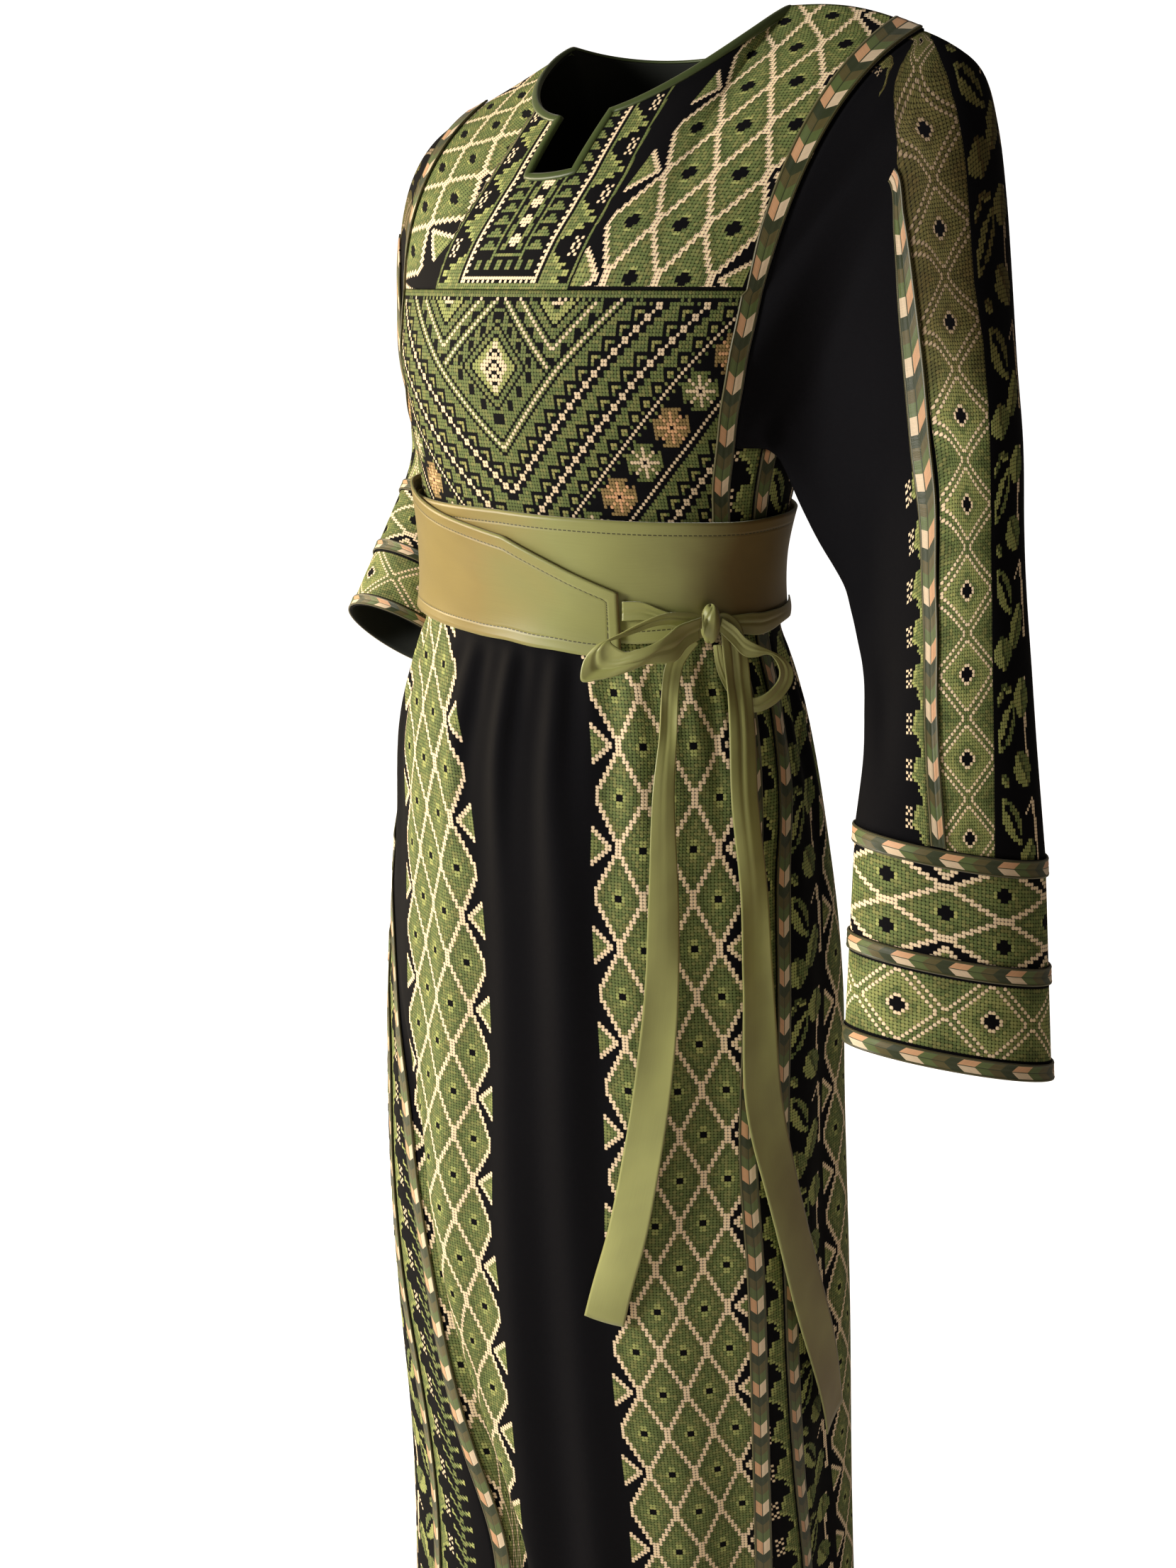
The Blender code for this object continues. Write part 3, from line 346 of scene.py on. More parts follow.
def seam(which, z):
    """Angle in degrees of a long seam at height z."""
    return smooth(z, SEAMS[:, 0], SEAMS[:, 1 + which])


def relief(theta, z):
    """How far the skirt stands out from its ring: a sum of soft upright waves that drift with height."""
    deg = np.mod(theta + 60.0, 360.0) - 60.0
    hip = np.clip((WAIST_Z - 0.055 - z) / 0.06, 0, 1)
    low = np.clip((WAIST_Z - 0.08 - z) / 0.95, 0, 1)
    out = 0 * deg
    for mid, spread, high, hem in FOLDS:
        drift = 9.0 * low * (abs(mid - 20.0) < 60.0)
        out = out + bell(deg, mid + drift, spread) * mix(high, hem, low) * hip
    groove = bell(theta, seam(FRONT_R, z) + 7.0, 2.6)
    return out - groove * 0.011 * np.clip((-0.72 - z) / 0.25, 0, 1)


def body(theta, z):
    """Point on the dress: an ellipse at each height, pushed out along its normal by the relief."""
    theta, z = np.broadcast_arrays(np.asarray(theta, float), np.asarray(z, float))
    a, b, cx, cy = (smooth(z, RINGS[:, 0], RINGS[:, k]) for k in (1, 2, 3, 4))
    t = np.radians(theta)
    out = relief(theta, z)
    nx, ny = np.sin(t) / a, -np.cos(t) / b
    n = np.hypot(nx, ny)
    x = cx + a * np.sin(t) + out * nx / n
    y = cy - b * np.cos(t) + out * ny / n
    return np.stack([x, y, z], -1)


def body_normal(theta, z):
    """Outward direction of the dress at an angle and height."""
    along = body(np.asarray(theta) + 0.5, z) - body(np.asarray(theta) - 0.5, z)
    up = body(theta, np.asarray(z) + 0.003) - body(theta, np.asarray(z) - 0.003)
    return unit(np.cross(along, up))


def neck_point(psi):
    """Point of the neck opening: psi 0 front middle, 90 left shoulder, 180 back middle."""
    t = np.radians(np.asarray(psi, float))
    c, s = np.cos(t), np.sin(t)
    front = np.clip(c, 0, 1)
    back = np.clip(-c, 0, 1)
    x = NECK_X * s - 0.007 * front
    y = -NECK_FRONT * front + NECK_BACK * back
    z = NECK_TILT * s - NECK_DROP * front ** 1.25 - 0.014 * back ** 1.4
    return np.stack([x, y, z], -1)


def yoke_column(u, v, back=False):
    """Point above the chest line: a cubic column from the chest at v 0 to the neck or shoulder at v 1."""
    u, v = np.broadcast_arrays(np.asarray(u, float), np.asarray(v, float))
    s = np.sign(u)
    m = np.abs(u)
    edge = seam(BACK_L, CHEST_Z) if back else seam(FRONT_L, CHEST_Z)
    if back:
        theta = 180.0 - u * (180.0 - edge)
        psi = 180.0 - s * 90.0 * np.clip(m / NECK_U, 0, 1) ** 0.9
    else:
        theta = u * edge
        psi = s * 90.0 * np.clip(m / NECK_U, 0, 1) ** 0.96
    low = body(theta, CHEST_Z + 0 * u)
    neck = neck_point(psi)
    tip = np.where(s[..., None] >= 0, np.array(TIP_L), np.array(TIP_R))
    r = np.clip((m - NECK_U) / (1 - NECK_U), 0, 1)[..., None]
    arch = np.zeros_like(neck)
    arch[..., 2] = np.where(s >= 0, 0.006, -0.001) * np.sin(np.pi * r[..., 0])
    top = np.where(m[..., None] <= NECK_U, neck, mix(neck, tip, r) + arch)
    span = np.linalg.norm(top - low, axis=-1, keepdims=True)
    side = np.clip((m - 0.25) / 0.75, 0, 1)[..., None]
    if back:
        rise = mix(np.array([0.0, 0.10, 1.0]), np.array([0.0, 0.02, 1.0]), side)
        land = mix(np.array([0.0, -0.45, 0.9]), np.array([0.0, -0.85, 0.5]), side)
    else:
        rise = mix(np.array([0.0, 0.16, 1.0]), np.array([0.0, 0.02, 1.0]), side)
        land = mix(np.array([0.0, 0.62, 0.75]), np.array([0.0, 0.90, 0.42]), side)
    lean = (top - low) * np.array([0.33, 0.0, 0.0])
    b = low + unit(rise) * span * 0.36 + lean
    c = top - unit(land) * span * 0.36 - lean
    t = v[..., None]
    return low * (1 - t) ** 3 + 3 * b * t * (1 - t) ** 2 + 3 * c * t * t * (1 - t) + top * t ** 3


def grid_normal(p, wrap=False):
    """Normals of a point grid from its own differences, columns first."""
    du = np.roll(p, -1, 0) - np.roll(p, 1, 0) if wrap else np.gradient(p, axis=0)
    return unit(np.cross(du, np.gradient(p, axis=1)))


def reach(p, axis, drop=None):
    """Running length along one direction of a grid, leaving out one of x, y, z if drop is given."""
    d = np.diff(p, axis=axis)
    if drop is not None:
        d = np.delete(d, drop, axis=-1)
    step = np.linalg.norm(d, axis=-1)
    first = np.zeros_like(np.take(step, [0], axis=axis))
    return np.concatenate([first, np.cumsum(step, axis=axis)], axis)


def at_column(values, k):
    """Values of a grid at a fractional column number, one number for each row."""
    i = np.clip(np.floor(k).astype(int), 0, values.shape[0] - 2)
    j = np.arange(values.shape[1])
    return mix(values[i, j], values[i + 1, j], k - i)


def arm_loop(side, phi):
    """Point of the armhole: phi 0 shoulder tip, 0 to 140 down the front, to 220 below, back up to 360."""
    s = 1.0 if side == "left" else -1.0
    fr, bk = (FRONT_L, BACK_L) if side == "left" else (FRONT_R, BACK_R)
    t = np.clip(phi / 140.0, 0, 1)
    z = mix(CHEST_Z, ARM_Z, np.clip((t - 0.62) / 0.38, 0, 1))
    front = np.where((t < 0.62)[:, None], yoke_column(s + 0 * t, np.clip(1 - t / 0.62, 0, 1)),
                     body(seam(fr, z), z))
    t = np.clip((phi - 140.0) / 80.0, 0, 1)
    below = body(mix(seam(fr, ARM_Z), seam(bk, ARM_Z), t), ARM_Z)
    t = np.clip((phi - 220.0) / 140.0, 0, 1)
    z = mix(ARM_Z, CHEST_Z, np.clip(t / 0.36, 0, 1))
    behind = np.where((t < 0.36)[:, None], body(seam(bk, z), z),
                      yoke_column(s + 0 * t, np.clip((t - 0.36) / 0.64, 0, 1), back=True))
    return np.where((phi <= 140.0)[:, None], front, np.where((phi <= 220.0)[:, None], below, behind))


def arm_ring(row, phi):
    """One sleeve ring: two half ellipses about the line from its outer to its inner point."""
    o, i = np.array(row[0:3]), np.array(row[3:6])
    rf, rb, tilt = row[6], row[7], math.radians(row[8])
    mid, half = (o + i) / 2, np.linalg.norm(o - i) / 2
    e = unit(o - i)
    f = np.array([0.0, -math.cos(tilt), math.sin(tilt)])
    f = unit(f - e * (f @ e))
    t = np.radians(phi)
    c, s = np.cos(t), np.sin(t)
    depth = np.where(s >= 0, rf, rb)
    return mid + np.outer(c * half, e) + np.outer(s * depth, f)


def keep_clear(p, dist):
    """Points moved straight out until they stand a distance outside the bodice below the arm."""
    z = np.clip(p[:, 2], WAIST_Z - 0.03, ARM_Z)
    a, b, cx, cy = (smooth(z, RINGS[:, 0], RINGS[:, k]) for k in (1, 2, 3, 4))
    mid = np.stack([cx, cy], -1)
    far = np.hypot((p[:, 0] - cx) / (a + dist), (p[:, 1] - cy) / (b + dist))
    grow = np.maximum(1.0 / np.maximum(far, 1e-6), 1.0)
    near = np.clip((ARM_Z + 0.045 - p[:, 2]) / 0.025, 0, 1)
    grow = mix(1.0, grow, near)
    q = p.copy()
    q[:, :2] = mid + (p[:, :2] - mid) * grow[:, None]
    return q


def arm_table(rows, at):
    """Sleeve rings spaced evenly by row number."""
    return smooth(at, np.arange(len(rows)), rows)


def sleeve_rings(side, phi):
    """The thirteen rings of a sleeve, from the armhole to the cuff seam, at the angles phi."""
    rows = SLEEVE_L if side == "left" else SLEEVE_R
    at = np.linspace(0, len(rows) - 1, 12)
    turn = np.interp(at, TURN_L[:, 0], TURN_L[:, 1]) if side == "left" else (1 - at / (len(rows) - 1)) * 38.0
    under = np.clip(1 - at / (len(rows) - 3), 0, 1) * 30.0
    bump, heel = bell(phi, 94.0, 42.0), bell(phi, 182.0, 42.0)
    rings = [arm_ring(r, phi - w * bump - v * heel) for r, w, v in zip(arm_table(rows, at), turn, under)]
    loop = arm_loop(side, phi)
    rings[0] = mix(rings[0], mix(loop, rings[1], 0.45), 0.5)
    low = np.exp(-(((phi - 180.0) / 45.0) ** 4))[:, None]
    off = unit((loop - np.array([-0.037, -0.03, 0.0])) * np.array([1.0, 1.0, 0.0]))
    for k in range(5):
        ledge = loop + off * (0.0075 + 0.0015 * k) - np.array([0.0, 0.0, 0.004 + 0.010 * k])
        rings[k] = mix(rings[k], ledge, low * (1 - 0.2 * k))
    clear = 0.0062 + 0.0120 * (1 - low[:, 0])
    rings = [keep_clear(r, clear + 0.0022 * k) if k < 5 else r for k, r in enumerate(rings)]
    first = loop + unit(rings[0] - loop) * mix(0.0016, 0.0010, low) + off * mix(0.0004, 0.0036, low)
    return np.stack([first] + rings, 0)


# =====================================================================  meshes
def place_object(name, data):
    """Object for some data, linked into the scene."""
    obj = bpy.data.objects.new(name, data)
    bpy.context.scene.collection.objects.link(obj)
    return obj


def make_piece(name, p, maps, materials, thick, wrap=False, keep=None, flip=False):
    """Cloth surface as a quad grid with stitch maps, given its wall by Solidify, in place of the solid name.

    p is columns by rows of points. maps is {map name: columns by rows of (u, v)}; on a wrapped grid each
    map has one more column than p, so that it runs on over the closing seam."""
    nu, nv = p.shape[:2]
    cells = nu if wrap else nu - 1
    i, j = (a.ravel() for a in np.meshgrid(np.arange(cells), np.arange(nv - 1), indexing="ij"))
    if keep is not None:
        inside = keep[i, j]
        i, j = i[inside], j[inside]
    k = (i + 1) % nu
    quads = np.stack([i * nv + j, k * nv + j, k * nv + j + 1, i * nv + j + 1], 1)
    corners = np.stack([np.stack([i, j], 1), np.stack([i + 1, j], 1),
                        np.stack([i + 1, j + 1], 1), np.stack([i, j + 1], 1)], 1)
    if flip:
        quads, corners = quads[:, ::-1], corners[:, ::-1]
    used, index = np.unique(quads, return_inverse=True)
    quads = index.reshape(quads.shape)
    points = p.reshape(-1, 3)[used]
    mesh = bpy.data.meshes.new("fine_" + name)
    mesh.vertices.add(len(points))
    mesh.vertices.foreach_set("co", points.astype(np.float32).ravel())
    mesh.loops.add(quads.size)
    mesh.loops.foreach_set("vertex_index", quads.astype(np.int32).ravel())
    mesh.polygons.add(len(quads))
    mesh.polygons.foreach_set("loop_start", np.arange(0, quads.size, 4, dtype=np.int32))
    mesh.polygons.foreach_set("loop_total", np.full(len(quads), 4, dtype=np.int32))
    mesh.update(calc_edges=True)
    for label, values in maps.items():
        layer = mesh.uv_layers.new(name=label)
        flat = values[corners[..., 0], corners[..., 1]]
        layer.data.foreach_set("uv", flat.astype(np.float32).ravel())
    for m in materials:
        mesh.materials.append(m)
    mesh.shade_smooth()
    mesh.validate()
    obj = place_object("fine_" + name, mesh)
    if thick:
        wall = obj.modifiers.new("Wall", "SOLIDIFY")
        wall.thickness = thick
        wall.offset = 0.0
        wall.use_even_offset = False
        if len(materials) > 1:
            wall.material_offset = 1
    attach(obj, "root")
    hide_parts(name)
    return obj


def closed(p):
    """Grid of a wrapped piece with its first column once more at the end."""
    return np.concatenate([p, p[:1]], 0)


LEAST_CUT = 0.31       # smallest share of its rectangle that a cut's worked-out area is taken to fill


def cut_sheet(p, wrap=False):
    """Works out the flat cut, widest row by longest column and the area from its cells' diagonals, and keeps
    none of it.
    """
    q = closed(p) if wrap else p
    width = float(reach(q, 0)[-1].max())
    length = float(reach(q, 1)[:, -1].max())
    crossed = np.cross(q[1:, 1:] - q[:-1, :-1], q[:-1, 1:] - q[1:, :-1])
    area = float(np.linalg.norm(crossed, axis=-1).sum() / 2)
    area = min(max(area, LEAST_CUT * width * length), width * length)


# =====================================================================  node building
def tone(r, g, b):
    """Colour given as 0 to 255 screen values, turned to linear light."""
    def lin(c):
        c = c / 255.0
        return c / 12.92 if c <= 0.04045 else ((c + 0.055) / 1.055) ** 2.4
    return (lin(r), lin(g), lin(b), 1.0)


def term(operation, swapped=False):
    """Method that adds one math node for a Num and what it is joined with, in the other order if swapped."""
    def add_node(self, *other):
        terms = (self,) + other
        return self.net.calc(operation, *(terms[::-1] if swapped else terms))
    return add_node


class Num:
    """A number carried by a socket. Sums and comparisons on it add math nodes to its group."""

    def __init__(self, net, out):
        self.net = net
        self.out = out

    def __invert__(self):
        return self.net.calc("SUBTRACT", 1.0, self)

    __add__ = term("ADD")
    __radd__ = term("ADD", swapped=True)
    __sub__ = term("SUBTRACT")
    __rsub__ = term("SUBTRACT", swapped=True)
    __mul__ = __and__ = term("MULTIPLY")
    __rmul__ = term("MULTIPLY", swapped=True)
    __truediv__ = term("DIVIDE")
    __mod__ = term("FLOORED_MODULO")
    __lt__ = term("LESS_THAN")
    __gt__ = term("GREATER_THAN")
    __or__ = high = term("MAXIMUM")
    __abs__ = term("ABSOLUTE")
    low = term("MINIMUM")
    floor = term("FLOOR")
    near = term("ROUND")


class Net:
    """A shader node group or a material's tree while it is being drawn."""

    def __init__(self, tree, ins=(), outs=()):
        self.tree = tree
        self.nodes = tree.nodes
        self.head = None
        if ins or outs:
            for label, kind, value in ins:
                s = tree.interface.new_socket(name=label, in_out="INPUT", socket_type=kind)
                if value is not None:
                    s.default_value = value
            for label, kind in outs:
                tree.interface.new_socket(name=label, in_out="OUTPUT", socket_type=kind)
            self.head = self.nodes.new("NodeGroupInput")
            self.tail = self.nodes.new("NodeGroupOutput")

    def feed(self, socket, value):
        """Links a Num or an output to a socket, or sets a plain value on it."""
        if isinstance(value, Num):
            value = value.out
        if isinstance(value, bpy.types.NodeSocket):
            self.tree.links.new(value, socket)
        else:
            socket.default_value = value

    def calc(self, operation, *terms):
        """Result of one math node."""
        node = self.nodes.new("ShaderNodeMath")
        node.operation = operation
        for k, term in enumerate(terms):
            self.feed(node.inputs[k], term)
        return Num(self, node.outputs[0])

    def fill(self, node, **values):
        """Feeds the inputs of a node by name, with _ for a space."""
        for label, value in values.items():
            self.feed(node.inputs[label.replace("_", " ")], value)
        return node

    def read(self, label):
        """One of the group's own inputs."""
        return Num(self, self.head.outputs[label])

    def finished(self, **values):
        """Feeds the group's outputs and hands over its tree."""
        self.fill(self.tail, **values)
        return self.tree

    def parts(self, vector):
        """The x, y and z of a vector, or the u and v of a map."""
        node = self.nodes.new("ShaderNodeSeparateXYZ")
        self.feed(node.inputs[0], vector)
        return [Num(self, out) for out in node.outputs]

    def join(self, x, y):
        """Vector with a z of 0."""
        node = self.nodes.new("ShaderNodeCombineXYZ")
        self.feed(node.inputs[0], x)
        self.feed(node.inputs[1], y)
        return node.outputs[0]

    def paint(self, base, mask, colour):
        """Colour laid over a base where the mask is one."""
        node = self.nodes.new("ShaderNodeMix")
        node.data_type = "RGBA"
        self.feed(node.inputs[0], mask)
        self.feed(node.inputs[6], base)
        self.feed(node.inputs[7], colour)
        return node.outputs[2]

    def paint_mask(self, base, mask, value):
        """Number that changes from base to value where the mask is one."""
        return self.calc("MULTIPLY_ADD", mask, self.calc("SUBTRACT", value, base), base)

    def shade(self, colour, factor):
        """Colour made lighter or darker by a factor."""
        node = self.nodes.new("ShaderNodeVectorMath")
        node.operation = "SCALE"
        self.feed(node.inputs[0], colour)
        self.feed(node.inputs["Scale"], factor)
        return node.outputs[0]

    def noise(self, vector, scale, detail, rough):
        """Cloudy noise from 0 to 1."""
        node = self.nodes.new("ShaderNodeTexNoise")
        self.fill(node, Vector=vector, Scale=scale, Detail=detail, Roughness=rough)
        return Num(self, node.outputs["Fac"])

    def place(self, group, **values):
        """A node group placed in this tree, with its inputs set by name."""
        node = self.nodes.new("ShaderNodeGroup")
        node.node_tree = group
        return self.fill(node, **values)


VEC, FLO, COL = "NodeSocketVector", "NodeSocketFloat", "NodeSocketColor"
THREADS = [(label, COL, None) for label in ("Dark", "Mid", "Light", "Beige", "Tan", "Peach")]
BLACK = tone(8, 8, 13)
LINING_GREY = tone(26, 30, 26)
# TAN_FLECK is a fleck of the thread itself; the second colour tints the painted shade on the upper sleeves
TAN_FLECK, SHADE_BROWN = tone(156, 138, 88), tone(120, 86, 52)
# the first two colours are the painted light and painted shade tints of the satin; SEWING is its sewing
# thread
PAINTED_LIGHT_GOLD, PAINTED_SHADE_BROWN, SEWING = tone(140, 118, 62), tone(112, 84, 44), tone(62, 60, 30)
BRAID_DYES = {"Dark": tone(46, 56, 28), "Mid": tone(92, 84, 46), "Light": tone(92, 108, 58)}
BINDING_GREEN = tone(66, 80, 40)
GROUPS = {}


def new_group(label, ins, outs):
    """Empty shader node group that reads a map or a place, with its other inputs and outputs by name."""
    return Net(bpy.data.node_groups.new(label, "ShaderNodeTree"), [("Map", VEC, None)] + ins, outs)


def new_chart(label, *ins):
    """Group for a chart of cross stitch, and the u and v of the middle of the stitch at a point."""
    net = new_group(label, list(ins) + THREADS, [("Colour", COL), ("Thread", FLO)])
    u, v, _ = net.parts(net.read("Map"))
    return net, u.floor() + 0.5, v.floor() + 0.5


def cross_group():
    """One cross stitch: two crossed threads, dark holes at its corners and a tint of its own."""
    net = new_group("Cross stitch", [], [("Height", FLO), ("Hole", FLO), ("Tint", FLO)])
    u, v, _ = net.parts(net.read("Map"))
    fu, fv = u % 1.0, v % 1.0
    over = net.calc("SMOOTH_MIN", 1.0, abs(fu - fv) * 2.4, 0.3)
    under = net.calc("SMOOTH_MIN", 1.0, abs(fu + fv - 1.0) * 2.4, 0.3)
    corner = (0.5 - abs(fu - 0.5)) + (0.5 - abs(fv - 0.5))
    node = net.nodes.new("ShaderNodeTexWhiteNoise")
    node.noise_dimensions = "2D"
    net.fill(node, Vector=net.join(u.floor(), v.floor()))
    return net.finished(Height=(1.0 - over * over).high((1.0 - under * under) * 0.8),
                        Hole=((0.43 - corner).high(0.0) * 3.0).low(1.0), Tint=node.outputs["Value"])


def lattice_group():
    """Lattice of long diamonds, 14 stitches by 30, with small triangles along both sides.

    A diamond's own coordinate runs from 0 in its middle to a half at its outline."""
    net, u, v = new_chart("Lattice", ("Reach", FLO, 14.0), ("Plus", FLO, 0.0), ("Leaf", FLO, 8.5))
    dark, mid, light, beige, wide = (net.read(n) for n in ("Dark", "Mid", "Light", "Beige", "Reach"))
    a, b = u / 14.0 + v / 30.0, u / 14.0 - v / 30.0
    ia, ib = a.near(), b.near()
    m = abs(a - ia).high(abs(b - ib))
    cu, cv = (ia + ib) * 7.0, (ia - ib) * 15.0
    du, dv = abs(u - cu), abs(v - cv)
    side = abs(cu)
    whole = side < wide + 0.5
    rim = (side > wide + 0.5) & (side < wide + 7.5)
    line = m > 0.448
    colour = net.paint(light, m > 0.15, mid)
    colour = net.paint(colour, m > 0.33, net.paint(dark, 0.55, mid))
    colour = net.paint(colour, line, beige)
    tip = (du < 0.6) & (dv < 1.1)
    cross = ((du < 0.6) & (dv < 1.6)) | ((du < 1.6) & (dv < 0.6))
    hole = whole & (tip | (cross & net.read("Plus")))
    # triangles that point inwards from the lattice's edge
    s = abs(u) - (wide + 1.5)
    row = abs((v + 15.0 * ((wide / 7.0) % 2.0)) % 30.0 - 15.0)
    leaf = (row < s.low(7.5)) & (s > 0.0) & (abs(u) < wide + net.read("Leaf"))
    edge = row > s - 2.2
    inner = net.paint(net.paint(light, 0.6, mid), (row > s - 4.4) | (s < 4.0), mid)
    inner = net.paint(inner, edge, beige)
    outline = line & rim & (abs(u) < wide + 7.5)
    return net.finished(Colour=net.paint(colour, leaf & ~outline, inner),
                        Thread=((whole & ~hole) | outline | leaf).low(1.0))


def nested_group():
    """Full ground of diamonds within diamonds, one every 24 stitches."""
    net, u, v = new_chart("Nested diamonds", ("Half width", FLO, 11.0))
    dark, mid, light = (net.read(n) for n in ("Dark", "Mid", "Light"))
    m = abs(u).floor() + abs((v % 24.0) - 12.0).floor()
    colour = net.paint(mid, m < 9.5, net.paint(mid, 0.5, light))
    colour = net.paint(colour, (m > 2.5) & (m < 4.5), mid)
    colour = net.paint(colour, m > 16.5, net.paint(mid, 0.5, dark))
    line = (abs(m - 2.0) < 0.5) | (abs(m - 9.0) < 0.5) | (abs(m - 12.0) < 0.5)
    return net.finished(Colour=net.paint(colour, line, net.read("Beige")),
                        Thread=(abs(u) < net.read("Half width")) & (m > 1.5))


def leaf_group():
    """Band of stepped leaves along one side with pairs of small crosses at their tips, every 15 stitches."""
    net, u, v = new_chart("Leaf band")
    q = v % 15.0
    step = (q % 5.0).floor()
    tall = net.calc("PINGPONG", q + 2.5, 7.5).floor()
    width = 0.9 + tall * 0.75 + (4.0 - step) * 0.5
    leaf = (u > 0.0) & (u < width)
    colour = net.paint(net.read("Mid"), u > width - 1.6, net.read("Light"))
    colour = net.paint(colour, u < 1.2, net.read("Dark"))
    cross = 0.0
    du = abs(u - 8.5)
    for at in (2.5, 6.5):
        cross = ((abs(du - abs(q - at)) < 0.5) & (du < 1.6)) | cross
    return net.finished(Colour=net.paint(colour, cross, net.read("Beige")), Thread=leaf | cross)


# leaves of the climbing spray: middle u and v, half length, half width, turn in degrees, hollow or not
SPRAY = ((7.0, 7.0, 8.5, 3.6, 62.0, True),
         (13.5, 18.0, 7.5, 3.6, 118.0, False),
         (5.5, 24.0, 5.5, 4.4, 80.0, False),
         (14.5, 37.0, 5.8, 4.6, 96.0, False),
         (6.0, 44.0, 8.0, 3.4, 118.0, True),
         (13.0, 56.0, 6.0, 4.6, 60.0, False),
         (4.5, 59.0, 2.6, 1.3, 45.0, False),
         (6.5, 33.5, 2.8, 1.3, 20.0, False),
         (3.5, 35.5, 2.6, 1.3, 120.0, False))
SPRAY_REPEAT = 64.0


def spray_group():
    """Climbing spray: almond and round leaves, sprigs and a thin pale stem, repeated along v."""
    net, u, v = new_chart("Leaf spray")
    q = v % SPRAY_REPEAT
    mid, light = net.read("Mid"), net.read("Light")
    colour, thread = mid, 0.0
    for cu, cv, long, wide, turn, hollow in SPRAY:
        c, s = math.cos(math.radians(turn)), math.sin(math.radians(turn))
        a = (u - cu) * c + (q - cv) * s
        b = (q - cv) * c - (u - cu) * s
        t = a / long
        inside = (t * t + abs(b) / wide) < 1.0
        vein = abs(b + 0.3) < (0.9 if hollow else 0.55)
        if hollow:
            inside = inside & ~(vein & (abs(a) < long * 0.7))
        colour = net.paint(colour, inside & (b > 0.0), light)
        colour = net.paint(colour, inside & (b < 0.0), mid)
        if not hollow:
            colour = net.paint(colour, inside & vein, net.read("Dark"))
        thread = inside | thread
    bend = net.calc("SINE", q * (2 * math.pi / SPRAY_REPEAT)) * 2.0
    stem = abs(u - 17.5 - bend) < 0.9
    twig = (abs((q % 16.0) - (18.0 - u)) < 0.8) & (u > 12.5) & (u < 18.0)
    pale = (stem & ((q % 32.0) < 22.0)) | (twig & (q % 32.0 < 14.0))
    return net.finished(Colour=net.paint(colour, pale & ~thread, net.read("Beige")), Thread=thread | pale)


def hooks_group():
    """Column of short green hooks either side of a spine, every 6 stitches."""
    net, u, v = new_chart("Hook column")
    q = (v + abs(u) * 0.5) % 6.0
    spine = abs(u) < 0.6
    hook = (q < 1.6) & (abs(u) < 6.0) & (abs(u) > 1.0)
    return net.finished(Colour=net.paint(net.read("Mid"), hook & (abs(u) > 4.0), net.read("Light")),
                        Thread=hook | (spine & (v % 3.0 < 2.0)))


